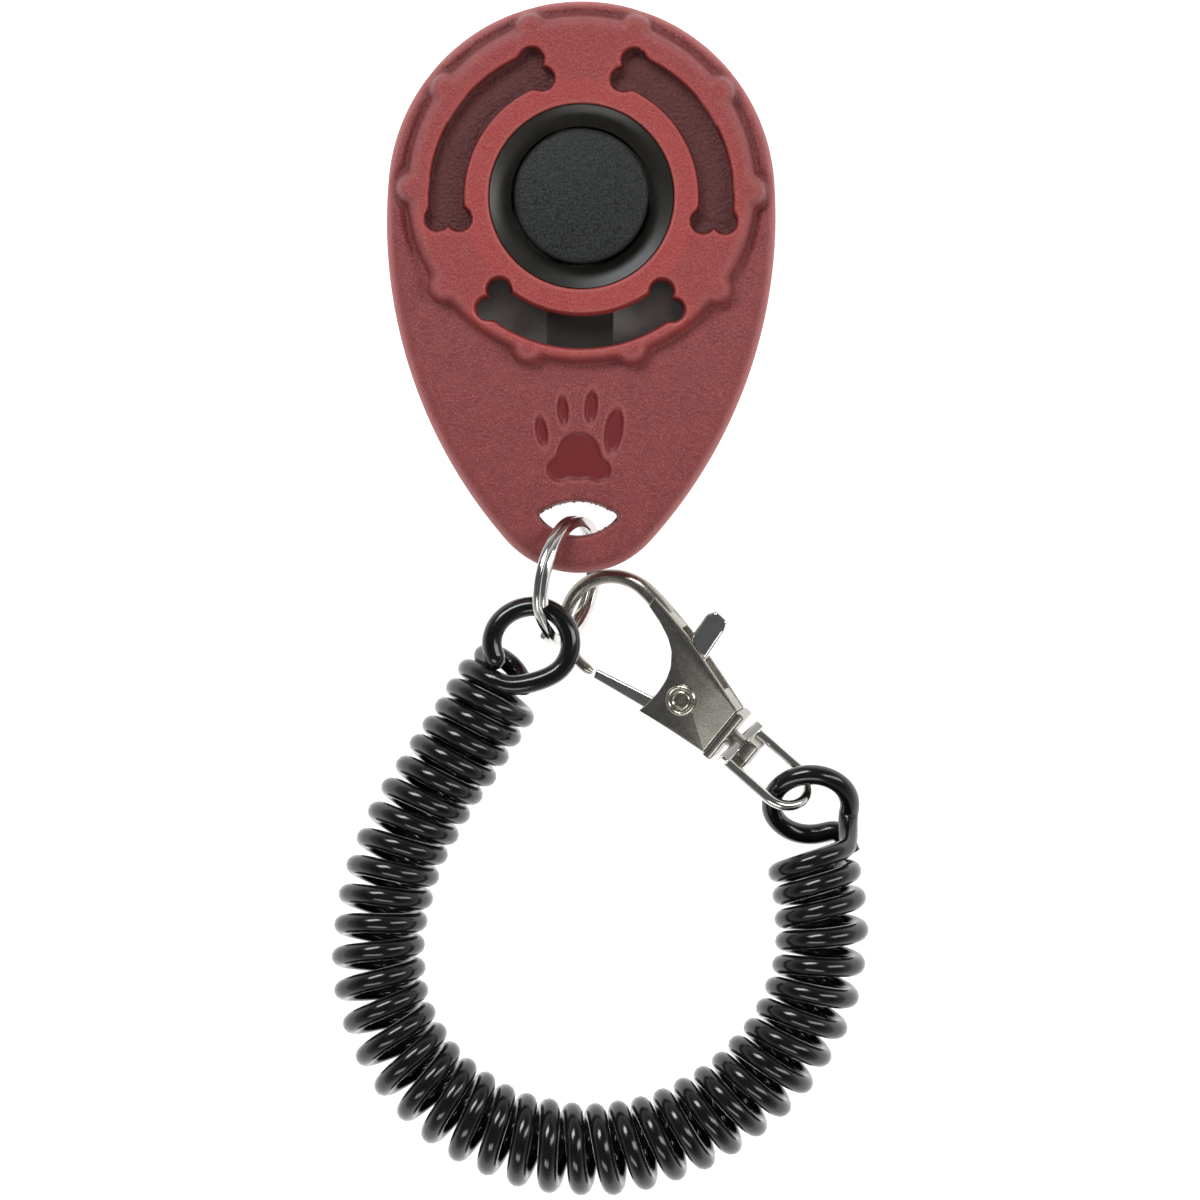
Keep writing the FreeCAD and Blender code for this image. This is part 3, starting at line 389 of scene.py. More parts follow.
def makeShellFinish():
    material, tree, shader = newMaterial("shellPlastic")
    place = tree.nodes.new("ShaderNodeTexCoord")
    mottle = nodeInto(tree, "ShaderNodeTexNoise", Scale=1 / (shellLook["mottle"] * mm),
                      Detail=shellLook["mottleDetail"], Roughness=shellLook["mottleRoughness"])
    pebbles = nodeInto(tree, "ShaderNodeTexVoronoi", Scale=1 / (shellLook["grain"] * mm), Randomness=1.0)
    pebbles.feature = "SMOOTH_F1"
    fine = nodeInto(tree, "ShaderNodeTexNoise", Scale=1 / (shellLook["fineGrain"] * mm),
                    Detail=shellLook["fineDetail"], Roughness=shellLook["fineRoughness"])
    for texture in (mottle, pebbles, fine):
        tree.links.new(place.outputs["Object"], texture.inputs["Vector"])

    masks = {}
    colour = rampInto(tree, mottle.outputs["Fac"], shellLook["mottleEdges"],
                      (shellLook["colour"], shellLook["second"]))
    # Of these masks, one lays painted highlights on the lips and rim and one lays painted shade in the
    # recesses; the other two are the finish's own tones.
    for mask in ("polished", "hollowShade", "smoothed", "edgeHighlight"):
        attribute = tree.nodes.new("ShaderNodeAttribute")
        attribute.attribute_name = mask
        masks[mask] = attribute.outputs["Fac"]
        colour = mixInto(tree, masks[mask], colour, shellLook[mask])
    # The grain's peaks catch the light and look paler, except where it is smooth.
    peaks = rangeInto(tree, fine.outputs["Fac"], shellLook["peakEdges"], (0, shellLook["peakShare"]))
    covered = mathInto(tree, "MULTIPLY_ADD", masks["hollowShade"], shellLook["shadeCover"], masks["smoothed"])
    covered.use_clamp = True
    bare = mathInto(tree, "SUBTRACT", 1.0, covered.outputs["Value"])
    shown = mathInto(tree, "MULTIPLY", peaks, bare.outputs["Value"])
    colour = mixInto(tree, shown.outputs["Value"], colour, shellLook["peaks"])
    tree.links.new(colour, shader.inputs["Base Color"])

    height = mathInto(tree, "MULTIPLY_ADD", fine.outputs["Fac"], shellLook["fineShare"],
                      pebbles.outputs["Distance"])
    strength = rangeInto(tree, masks["smoothed"], (0, 1), shellLook["bumpStrength"])
    bump = nodeInto(tree, "ShaderNodeBump", Distance=shellLook["depth"] * mm)
    tree.links.new(strength, bump.inputs["Strength"])
    tree.links.new(height.outputs["Value"], bump.inputs["Height"])
    tree.links.new(bump.outputs["Normal"], shader.inputs["Normal"])
    rough = rangeInto(tree, fine.outputs["Fac"], (0, 1), shellLook["roughness"])
    tree.links.new(rough, shader.inputs["Roughness"])
    shader.inputs["Specular IOR Level"].default_value = shellLook["specular"]
    return material


looks["shellPlastic"] = makeShellFinish()
print("materials:", len(looks))


# Curly wrist band: one elastomer cord, looped at both ends and coiled between them.
band = {
    "cord": 2.3,
    "turnRadius": 4.25,
    "axisHeight": 5.4,
    "innerPitch": 2.62,  # between neighbouring turns on the inside of a bend
    "pointsPerTurn": 20,
    "lastPart": 0.17,
    "nearTuck": [(-6.0, -45.7, 4.4), (-6.3, -44.5, 3.0), (-7.7, -42.8, 2.3), (-9.6, -41.7, 3.4),
                 (-10.8, -41.9, 6.2)],
    "farTail": [(29.9, -61.6, 2.2), (31.0, -62.6, 1.9), (31.6, -64.2, 1.6)],
    # angles: from, to and the number of points
    "nearLoop": {"centre": (-4.9, -40.54, 9.6), "radius": 4.2, "tilt": 0, "leftStretch": 1.14,
                 "angles": (207, -52, 24)},
    "farLoop": {"centre": (26.88, -58.7, 4.64), "radius": 4.5, "tilt": 39, "leftStretch": 1.0,
                "angles": (-12, 292, 28)},
    # joins: how hard each pulls on its ends, and the number of points
    "tuckJoin": (2.0, 2), "nearJoin": (4.5, 4), "farJoin": (4.0, 4),
    "loose": [(0.012, 2.1, 0), (0.008, 5.3, 1)],  # unevenness of the turns: share, beat and start
    "routeSteps": 24, "smoothing": 25, "bevelSteps": 4,
}
chainY = -40.0  # the route is counted from the ring's far side
bandRoute = [
    (-8.5, -5.2), (-12.0, -11.0), (-16.2, -17.0), (-20.0, -24.0), (-22.3, -31.8), (-22.4, -39.6),
    (-20.0, -46.6), (-15.4, -52.2), (-9.2, -56.2), (-2.2, -58.3), (5.2, -58.4), (12.2, -56.3),
    (18.4, -52.7), (23.6, -47.6), (27.2, -41.0), (28.5, -34.4), (28.0, -28.9), (27.0, -24.5),
]


def splineFrom(name, points, resolution=3):
    curve = bpy.data.curves.new(name, "CURVE")
    curve.dimensions = "3D"
    curve.resolution_u = resolution
    line = curve.splines.new("NURBS")
    line.points.add(len(points) - 1)
    for spot, where in zip(line.points, points):
        spot.co = (where[0] * mm, where[1] * mm, where[2] * mm, 1)
    line.order_u = 3
    line.use_endpoint_u = True
    return curve


def readLine(curve):
    # The points of a curve with no bevel, in millimetres.
    holder = bpy.data.objects.new(curve.name + "Line", curve)
    bpy.context.scene.collection.objects.link(holder)
    bpy.context.view_layer.update()
    mesh = bpy.data.meshes.new_from_object(holder.evaluated_get(bpy.context.evaluated_depsgraph_get()))
    points = np.array([v.co[:] for v in mesh.vertices]) / mm
    bpy.data.objects.remove(holder)
    bpy.data.meshes.remove(mesh)
    return points


def loopPoint(loop, angle):
    # A point on an end loop, and the way along it when the angle grows.
    a, tilt = math.radians(angle), math.radians(loop["tilt"])
    x, y = math.cos(a), math.sin(a)
    if x < 0:
        x *= loop["leftStretch"]
    across = np.array([x, y * math.cos(tilt), y * math.sin(tilt)])
    along = np.array([-y, x * math.cos(tilt), x * math.sin(tilt)])
    return np.array(loop["centre"]) + loop["radius"] * across, along


def bridge(start, startWay, end, endWay, pull, count):
    # Points strictly between two ends, leaving and arriving along the given ways.
    points = []
    for step in range(1, count + 1):
        t = step / (count + 1)
        points.append((2 * t**3 - 3 * t**2 + 1) * start + (t**3 - 2 * t**2 + t) * startWay * pull
                      + (3 * t**2 - 2 * t**3) * end + (t**3 - t**2) * endWay * pull)
    return points


def makeHelix():
    places = [(x, y + chainY, band["axisHeight"]) for x, y in bandRoute]
    line = readLine(splineFrom("bandRoute", places, resolution=band["routeSteps"]))
    steps = np.linalg.norm(np.diff(line, axis=0), axis=1)
    along = np.concatenate([[0], np.cumsum(steps)])
    heading = np.unwrap(np.arctan2(np.gradient(line[:, 1], along), np.gradient(line[:, 0], along)))
    smoothing = np.ones(band["smoothing"]) / band["smoothing"]
    bend = np.convolve(np.gradient(heading, along), smoothing, mode="same")
    # The turns touch on the inside of each bend, so the pitch on the middle line opens with it.
    rate = (1 - bend * band["turnRadius"]) / band["innerPitch"]
    turns = np.concatenate([[0], np.cumsum((rate[1:] + rate[:-1]) / 2 * steps)])
    whole = round(turns[-1])
    # The coil runs from its top at one end to a little past its top at the other.
    turns *= (whole + band["lastPart"]) / turns[-1]
    count = int(band["pointsPerTurn"] * turns[-1])
    at = np.linspace(0, turns[-1], count)
    x = np.interp(at, turns, line[:, 0])
    y = np.interp(at, turns, line[:, 1])
    way = np.interp(at, turns, heading)
    angle = math.pi / 2 + 2 * math.pi * at
    loose = 1 + sum(share * np.sin(at * beat + start) for share, beat, start in band["loose"])
    across = band["turnRadius"] * loose * np.cos(angle)
    up = band["axisHeight"] + band["turnRadius"] * np.minimum(loose, 1.0) * np.sin(angle)
    print("coil:", round(along[-1], 1), "mm of middle line,", round(float(turns[-1]), 1), "turns")
    return np.stack([x - across * np.sin(way), y + across * np.cos(way), up], axis=1)


def makeBand():
    helix = makeHelix()
    first, last = helix[0], helix[-1]
    firstWay, lastWay = unit(helix[1] - helix[0]), unit(helix[-1] - helix[-2])
    near, far = band["nearLoop"], band["farLoop"]
    # The near loop starts from an end tucked under the coil, and runs clockwise into the first turn.
    nearAngles = np.linspace(*near["angles"])
    nearStart, nearStartWay = loopPoint(near, nearAngles[0])
    nearEnd, nearEndWay = loopPoint(near, nearAngles[-1])
    tucked = [np.array(p) for p in band["nearTuck"]]
    points = list(tucked)
    points += bridge(tucked[-1], unit(tucked[-1] - tucked[-2]), nearStart, -nearStartWay, *band["tuckJoin"])
    points += [loopPoint(near, a)[0] for a in nearAngles]
    points += bridge(nearEnd, -nearEndWay, first, firstWay, *band["nearJoin"])
    points += list(helix)
    # The far loop leaves the last turn on its outer side, and runs the other way to an end below it.
    farAngles = np.linspace(*far["angles"])
    farStart, farStartWay = loopPoint(far, farAngles[0])
    points += bridge(last, lastWay, farStart, farStartWay, *band["farJoin"])
    points += [loopPoint(far, a)[0] for a in farAngles]
    points += [np.array(p) for p in band["farTail"]]
    curve = splineFrom("curlyBand", points)
    length = float(np.sum(np.linalg.norm(np.diff(readLine(curve), axis=0), axis=1)))
    curve.bevel_depth = band["cord"] / 2 * mm
    curve.bevel_resolution = band["bevelSteps"]
    curve.use_fill_caps = True
    piece = bpy.data.objects.new("curlyBand", curve)
    bpy.context.scene.collection.objects.link(piece)
    settle(piece, "band", ["wrist_coil", "loop_ring_end", "loop_clasp_end"], looks["cordElastomer"])
    print("band cord:", round(length, 1), "mm")


makeBand()


# Front shell: rings of points about the button, from its opening out to the egg outline.
shell = {
    "dial": (0.0, 10.15), "dialHole": 10.5,
    "headRadius": 22.0, "headY": 10.5, "sideRadius": 55.0, "tipRadius": 11.0, "tipY": -21.5,
    "face": 11.4, "slopeStart": -6.0, "slopeRadius": 140.0, "parting": 7.06,
    "rimRound": 1.7, "rimDrop": 2.1, "rimMost": 0.9,  # rimMost: the most of the wall that the rim may take
    "plateY": 11.0, "plateRadius": 19.7, "plateTop": 13.4, "plateShoulder": 1.15,
    "plateFoot": 0.05, "shoulderPowers": (2.3, 0.7),
    "knobs": 10, "knobRadius": 2.0, "knobCircle": 18.9, "knobBlend": 0.35,
    # valleyEdges: the distances from the outline between which it fades to its least share
    "valleyDepth": 0.42, "valleyWidth": 0.5, "valleyAt": -0.45, "valleyLeast": 0.12, "valleyEdges": (2.4, 4.5),
    "boneMiddle": 15.3, "boneHalf": 2.05, "boneSpan": 40.0, "boneLobe": 1.5, "boneFloor": 11.4,
    "boneLobeOut": 1.22, "boneBlend": 0.35,
    "windowFloor": 9.8,
    "lip": 0.28, "ledge": 0.24,  # ledge: what is left of the floor round an opening
    "dialLip": 1.3, "recessWall": 0.1, "recessFillet": 0.25, "recessFilletWidth": 0.4,
    "slotY": -25.9, "slotHalf": 4.8, "slotAbove": 1.75, "slotBelow": 2.55,
    "slotTip": 0.7, "slotTipX": 3.85, "slotTipY": -26.15, "slotBlend": 0.9, "slotTipBlend": 0.5,
    "pawY": -19.4, "pawDepth": 0.4, "pawEdges": (-0.02, 0.28), "pawBead": (0.05, -0.16, 0.11), "padBlend": 0.7,
    # toes: half width, half length, x, y and turn; pads: x, y and radius
    "toes": [(0.72, 1.9, -4.25, 2.9, 10), (0.68, 1.8, -1.85, 5.3, 5),
             (0.78, 1.98, 1.35, 5.75, -4), (1.07, 2.75, 3.95, 3.05, -9)],
    "pads": [(0.0, 0.45, 2.5), (-2.2, -1.4, 1.5), (2.3, -1.45, 1.45), (0.05, -0.4, 2.3)],
    "angles": 760, "headRings": 84, "tipRings": 90,
    "tipSpokes": 1.2, "tipSpokeEdges": (-42, -30),  # more spokes this near to the tip, in degrees
    "searchReach": 60.0, "searchSteps": 40,
    "headShare": 0.8, "headReach": 12.1, "tipEase": 1.25,
    "wallDrops": (0.33, 0.66, 0.94), "footInsets": (0.12, 1.8), "openingLevels": (9.8, 11.0, 12.2),
    "openFrom": -0.01,
}

# Tones of the shell. A bell is its share, its place and its width; edges are where a tone starts and is full.
tones = {
    "smoothed": (0.0, 0.2),
    # Painted highlights on the lips of the openings, the plate's shoulder and the outer rim.
    "windowLipHighlight": (0.75, -0.14, 0.12), "dialLipHighlight": (0.75, -0.2, 0.16), "boneLipHighlight": (0.45, -0.14, 0.12),
    "pawLipHighlight": (0.3, -0.14, 0.1), "plateShoulderHighlight": (0.25, 0.9, 0.4), "slotLipHighlight": (0.4, -0.14, 0.12),
    "rimHighlight": 0.55, "rimHighlightEdges": (0.25, 1.0),
    # Painted shade on the bone floors and in the valley round the plate.
    "boneShadeEdges": (-0.02, 0.1), "valleyShade": (0.6, -0.42, 0.3),
    "polishedDialEdges": (12.9, 14.2), "polishedRecess": 0.8, "polishedRecessEdges": (-1.5, -0.5),
    "polishedPlate": 0.5, "polishedPlateEdges": (0.5, 1.6),
}


def eggDepth(x, y):
    # How far a point lies inside the outline.
    reachHead = shell["sideRadius"] - shell["headRadius"]
    reachTip = shell["sideRadius"] - shell["tipRadius"]
    gap = shell["headY"] - shell["tipY"]
    sideY = shell["headY"] - (reachHead**2 - reachTip**2 + gap**2) / (2 * gap)
    sideX = -math.sqrt(reachHead**2 - (shell["headY"] - sideY) ** 2)
    right = np.abs(x)
    turn = np.arctan2(y - sideY, right - sideX)
    headTurn = math.atan2(shell["headY"] - sideY, -sideX)
    tipTurn = math.atan2(shell["tipY"] - sideY, -sideX)
    head = shell["headRadius"] - np.hypot(right, y - shell["headY"])
    tip = shell["tipRadius"] - np.hypot(right, y - shell["tipY"])
    side = shell["sideRadius"] - np.hypot(right - sideX, y - sideY)
    return np.where(turn > headTurn, head, np.where(turn < tipTurn, tip, side))


def plateDepth(x, y):
    depth = shell["plateRadius"] - np.hypot(x, y - shell["plateY"])
    for index in range(shell["knobs"]):
        angle = math.radians(90 + (index + 0.5) * 360 / shell["knobs"])
        knobX = shell["knobCircle"] * math.cos(angle)
        knobY = shell["plateY"] + shell["knobCircle"] * math.sin(angle)
        depth = softMax(depth, shell["knobRadius"] - np.hypot(x - knobX, y - knobY), shell["knobBlend"])
    return depth


def boneDepth(x, y, middleTurn):
    # A curved shaft about the button's axis, with two lobes at each end.
    east, north = x - shell["dial"][0], y - shell["dial"][1]
    out = np.hypot(east, north)
    turn = np.degrees(np.arctan2(north, east)) - middleTurn
    turn = (turn + 180) % 360 - 180
    shaft = np.minimum(shell["boneHalf"] - np.abs(out - shell["boneMiddle"]),
                       np.radians(shell["boneSpan"] - np.abs(turn)) * out)
    lobes = None
    for way in (-1, 1):
        for side, extra in ((-1, 1.0), (1, -0.6)):
            angle = math.radians(middleTurn + way * (shell["boneSpan"] + extra))
            radius = shell["boneMiddle"] + side * shell["boneLobeOut"]
            lobeX, lobeY = radius * math.cos(angle), radius * math.sin(angle)
            lobe = shell["boneLobe"] - np.hypot(east - lobeX, north - lobeY)
            lobes = lobe if lobes is None else np.maximum(lobes, lobe)
    return softMax(shaft, lobes, shell["boneBlend"])


def slotDepth(x, y):
    upper = (shell["slotHalf"] ** 2 + shell["slotAbove"] ** 2) / (2 * shell["slotAbove"])
    lower = (shell["slotHalf"] ** 2 + shell["slotBelow"] ** 2) / (2 * shell["slotBelow"])
    top = upper - np.hypot(x, y - (shell["slotY"] + shell["slotAbove"] - upper))
    bottom = lower - np.hypot(x, y - (shell["slotY"] - shell["slotBelow"] + lower))
    lens = softMin(top, bottom, shell["slotBlend"])
    tips = shell["slotTip"] - np.hypot(np.abs(x) - shell["slotTipX"], y - shell["slotTipY"])
    return softMax(lens, tips, shell["slotTipBlend"])


def pawDepths(x, y):
    depth = None
    for padX, padY, radius in shell["pads"]:
        pad = radius - np.hypot(x - padX, y - shell["pawY"] - padY)
        depth = pad if depth is None else softMax(depth, pad, shell["padBlend"])
    for across, along, toeX, toeY, turn in shell["toes"]:
        a = math.radians(turn)
        east, north = x - toeX, y - shell["pawY"] - toeY
        u = (east * math.cos(a) + north * math.sin(a)) / across
        v = (north * math.cos(a) - east * math.sin(a)) / along
        depth = np.maximum(depth, (1 - np.hypot(u, v)) * across)
    return depth


def boneDepths(x, y):
    return np.maximum(boneDepth(x, y, 30), boneDepth(x, y, 150))


def windowDepth(x, y):
    return boneDepth(x, y, 270)


def slotLedge(x, y):
    return slotDepth(x, y) - shell["ledge"]


def windowLedge(x, y):
    return windowDepth(x, y) - shell["ledge"]


def snapTo(x, y, depth, reach):
    # Moves the points beside an edge onto it, so that the edge is clean.
    small = 0.01
    here = depth(x, y)
    slopeX = (depth(x + small, y) - depth(x - small, y)) / (2 * small)
    slopeY = (depth(x, y + small) - depth(x, y - small)) / (2 * small)
    size = np.maximum(np.hypot(slopeX, slopeY), 0.3)
    near = np.abs(here) < reach
    return np.where(near, x - here * slopeX / size**2, x), np.where(near, y - here * slopeY / size**2, y)


def roundLip(depth, lip):
    # How far a rounded lip has fallen, from nothing a lip's width outside an edge to its whole width on it.
    t = np.clip((depth + lip) / lip, 0, 1)
    return lip * (1 - np.sqrt(np.maximum(0, 1 - t * t)))


# Each edge that points are moved onto, and from how far.
snapEdges = ((boneDepths, 0.075), (windowDepth, 0.075), (slotDepth, 0.11), (slotLedge, 0.11),
             (windowLedge, 0.08))


def shellHeight(x, y):
    inside = eggDepth(x, y)
    slope = np.minimum(y - shell["slopeStart"], 0)
    ground = shell["face"] - (shell["slopeRadius"] - np.sqrt(shell["slopeRadius"] ** 2 - slope**2))
    # A rounded outer rim, with a valley between it and the plate where the two are close.
    t = np.clip(1 - inside / shell["rimRound"], 0, 1)
    drop = np.minimum(shell["rimDrop"], (ground - shell["parting"]) * shell["rimMost"])
    ground = ground - drop * (1 - np.sqrt(np.maximum(0, 1 - t * t)))
    plate = plateDepth(x, y)
    close = 1 - steady(inside, *shell["valleyEdges"])
    least = shell["valleyLeast"]
    ground = ground - (least + (1 - least) * close) * bell(plate, shell["valleyDepth"], shell["valleyAt"],
                                                           shell["valleyWidth"])
    t = np.clip((plate + shell["plateFoot"]) / shell["plateShoulder"], 0, 1)
    first, second = shell["shoulderPowers"]
    rise = (1 - (1 - t) ** first) ** second
    z = ground + (shell["plateTop"] - ground) * rise

    bones, window, slot, paw = boneDepths(x, y), windowDepth(x, y), slotDepth(x, y), pawDepths(x, y)
    out = np.hypot(x - shell["dial"][0], y - shell["dial"][1])
    dial = shell["dialHole"] - out
    z = z - roundLip(dial, shell["lip"] * shell["dialLip"])
    recesses = ((bones, shell["boneFloor"]), (window, shell["windowFloor"]), (slot, shell["parting"]))
    for depth, floor in recesses:
        z = z - roundLip(depth, shell["lip"])
        wall = np.clip(depth / shell["recessWall"], 0, 1)
        fillet = shell["recessFillet"] * np.clip(1 - depth / shell["recessFilletWidth"], 0, 1) ** 2
        z = np.where(depth > 0, z * (1 - wall) + (floor + fillet) * wall, z)
    z = z - shell["pawDepth"] * steady(paw, *shell["pawEdges"]) + bell(paw, *shell["pawBead"])
    return z, shellTones(inside, plate, close, bones, window, slot, paw, dial, out)


def shellTones(inside, plate, close, bones, window, slot, paw, dial, out):
    # The shares of each tone, from how far the points lie inside each shape.
    # Painted highlights on the lips of the openings, the plate's shoulder and the outer rim.
    edgeHighlight = bell(window, *tones["windowLipHighlight"]) + bell(dial, *tones["dialLipHighlight"])
    edgeHighlight += bell(bones, *tones["boneLipHighlight"]) + bell(paw, *tones["pawLipHighlight"])
    edgeHighlight += bell(plate, *tones["plateShoulderHighlight"]) + bell(slot, *tones["slotLipHighlight"])
    edgeHighlight += tones["rimHighlight"] * (1 - steady(inside, *tones["rimHighlightEdges"]))
    # Painted shade on the bone floors, and in the valley round the plate where it is close to the rim.
    hollowShade = np.maximum(steady(bones, *tones["boneShadeEdges"]), bell(plate, *tones["valleyShade"]) * close)
    recess = steady(np.maximum(window, bones), *tones["polishedRecessEdges"]) * tones["polishedRecess"]
    polished = np.maximum(1 - steady(out, *tones["polishedDialEdges"]), recess)
    polished = np.maximum(polished, tones["polishedPlate"] * steady(plate, *tones["polishedPlateEdges"]))
    return {"smoothed": steady(paw, *tones["smoothed"]), "edgeHighlight": np.clip(edgeHighlight, 0, 1), "hollowShade": hollowShade,
            "polished": polished}


def makeSpokes(count):
    # The spokes' angles, and how far each reaches from the button's axis to the outline.
    even = np.linspace(0, 360, 3601)
    density = 1 + shell["tipSpokes"] * steady(-np.abs(even - 270), *shell["tipSpokeEdges"])
    total = np.concatenate([[0], np.cumsum((density[1:] + density[:-1]) / 2)])
    spokes = np.radians(np.interp(np.arange(count) / count * total[-1], total, even))
    dialX, dialY = shell["dial"]
    low = np.full(count, shell["dialHole"])
    high = np.full(count, shell["searchReach"])
    for _ in range(shell["searchSteps"]):
        middle = (low + high) / 2
        isInside = eggDepth(dialX + middle * np.cos(spokes), dialY + middle * np.sin(spokes)) > 0
        low, high = np.where(isInside, middle, low), np.where(isInside, high, middle)
    return spokes, low


def makeFrontShell():
    count = shell["angles"]
    dialX, dialY = shell["dial"]
    spokes, edge = makeSpokes(count)
    reach = edge - shell["dialHole"]
    share = np.minimum(shell["headShare"], shell["headReach"] / reach)
    head = np.linspace(0, 1, shell["headRings"] + 1)
    tip = 1 - (1 - np.linspace(0, 1, shell["tipRings"] + 1)[1:]) ** shell["tipEase"]
    part = np.concatenate([np.outer(head, share), share + np.outer(tip, 1 - share)])
    radius = shell["dialHole"] + part * reach
    x = dialX + radius * np.cos(spokes)
    y = dialY + radius * np.sin(spokes)
    edgeX, edgeY = x[-1].copy(), y[-1].copy()
    for depth, near in snapEdges:
        x[1:-1], y[1:-1] = snapTo(x[1:-1], y[1:-1], depth, near)
    z, masks = shellHeight(x, y)
    isOpen = np.maximum(windowLedge(x, y), slotLedge(x, y)) > shell["openFrom"]

    # Below the rim: the side wall down to the parting line, and its foot turned in.
    # Inside: the opening's wall.
    wallRings = [(edgeX, edgeY, z[-1] + (shell["parting"] - z[-1]) * drop) for drop in shell["wallDrops"]]
    for inset in shell["footInsets"]:
        shrink = 1 - inset / np.hypot(edgeX - dialX, edgeY - dialY)
        wallRings.append((dialX + (edgeX - dialX) * shrink, dialY + (edgeY - dialY) * shrink,
                          np.full(count, shell["parting"])))
    innerRings = [(x[0], y[0], np.full(count, level)) for level in shell["openingLevels"]]
    allX, allY, allZ = (np.concatenate([[r[i] for r in innerRings], field, [r[i] for r in wallRings]])
                        for i, field in enumerate((x, y, z)))
    extraRows = ((len(innerRings), len(wallRings)), (0, 0))
    index = np.arange(allX.size).reshape(allX.shape)
    a, b = index[:-1], np.roll(index, -1, axis=1)[:-1]
    c, d = np.roll(index, -1, axis=1)[1:], index[1:]
    flat = np.pad(isOpen, extraRows).ravel()
    keep = ~(flat[a] & flat[b] & flat[c] & flat[d])
    faces = np.stack([a[keep], d[keep], c[keep], b[keep]], axis=1)
    used = np.zeros(allX.size, bool)
    used[faces.ravel()] = True
    renumber = np.cumsum(used) - 1
    points = np.stack([allX.ravel(), allY.ravel(), allZ.ravel()], axis=1)[used]
    piece = addMesh("frontShell", points, renumber[faces].tolist())
    for name, field in masks.items():
        layer = piece.data.attributes.new(name, "FLOAT", "POINT")
        layer.data.foreach_set("value", np.pad(field, extraRows).ravel()[used].astype(np.float32))
    settle(piece, "casing", ["front_shell"], looks["shellPlastic"])
    print("front shell:", len(points), "points")


makeFrontShell()


# Click strip under the button: a shallow spring arch that the plunger's tip pushes flat.
clicker = {
    "y": 10.15, "half": 11.0, "bend": 8.5, "width": 9.0, "thick": 0.4, "crown": 0.6, "base": 5.2,
    "steps": 89,
    "pressed": 0.05,  # share of its height left when the button is down
    "tipRadius": 1.3, "tipTop": 8.4, "tipBottom": 6.5, "tipRound": 0.3,
}


def makeClicker():
    half, bend, crown = clicker["half"], clicker["bend"], clicker["crown"]
    radius = (bend**2 + crown**2) / (2 * crown)
    along = np.linspace(-half, half, clicker["steps"])
    arch = np.sqrt(radius**2 - np.minimum(np.abs(along), bend) ** 2) - (radius - crown)
    points, faces = [], []
    for x, rise in zip(along, arch):
        low = clicker["base"] + rise
        for side, level in ((-1, low), (1, low), (1, low + clicker["thick"]), (-1, low + clicker["thick"])):
            points.append((x, clicker["y"] + side * clicker["width"] / 2, level))
    for i in range(len(along) - 1):
        for j in range(4):
            k = (j + 1) % 4
            faces.append((4 * i + j, 4 * i + k, 4 * i + 4 + k, 4 * i + 4 + j))
    last = 4 * len(along) - 4
    faces += [(3, 2, 1, 0), (last, last + 1, last + 2, last + 3)]
    piece = addMesh("clickStrip", points, [face[::-1] for face in faces])
    settle(creased(piece), "casing", ["click_strip"], looks["springSteel"])
    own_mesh(piece)

    foot, edge, out = clicker["tipBottom"], clicker["tipRound"], clicker["tipRadius"]
    profile = [(nearAxis, foot)] + [(out - edge * (1 - math.sin(math.radians(a))),
                                 foot + edge * (1 - math.cos(math.radians(a)))) for a in (0, 30, 60, 90)]
    profile += [(out, clicker["tipTop"]), (nearAxis, clicker["tipTop"])]
    shape = moved(latheShape(profile, 32), Matrix.Translation((0, clicker["y"], 0)))
    piece = addMesh("plungerTip", *shape)
    settle(creased(piece), "button", ["plunger_tip"], looks["innerPlastic"])


makeClicker()
print("click strip done")


# Split ring: two flat turns of wire side by side, crossing over once.
ring = {
    "place": (-1.14, -33.4, 7.25, -100.5, 0, 114),
    "outer": 7.5, "inner": 6.35, "width": 1.6, "gap": 0.05, "corner": 0.2,
    "crossing": 40.0,  # degrees over which the wire moves from one side to the other
    "endTurn": 62.0,  # where the wire's first end lies
    "steps": 300, "cornerSteps": 4,
}


def makeRing():
    middle, thick = (ring["outer"] + ring["inner"]) / 2, (ring["outer"] - ring["inner"]) / 2
    each = (ring["width"] - ring["gap"]) / 4
    start = ring["crossing"] / 2
    angles = np.linspace(start, 720 - start, ring["steps"])
    lift = (each + ring["gap"] / 2) * (2 * steady(angles, 360 - start, 360 + start) - 1)
    turned = np.radians(angles + ring["endTurn"] - start)
    path = np.stack([middle * np.cos(turned), middle * np.sin(turned), lift], axis=1)
    outward = np.stack([np.cos(turned), np.sin(turned), np.zeros_like(turned)], axis=1)
    corner = ring["corner"]
    section = []
    for cx, cy, first in ((1, 1, 0), (-1, 1, 90), (-1, -1, 180), (1, -1, 270)):
        for a in np.radians(np.linspace(first, first + 90, ring["cornerSteps"])):
            section.append((cx * (thick - corner) + corner * math.cos(a),
                            cy * (each - corner) + corner * math.sin(a)))
    shape = sweptShape(path, [section], outward)
    piece = addMesh("splitRing", *moved(shape, placing(*ring["place"])))
    settle(creased(piece), "ring", ["split_ring"], looks["ringSteel"])


makeRing()
print("split ring done")


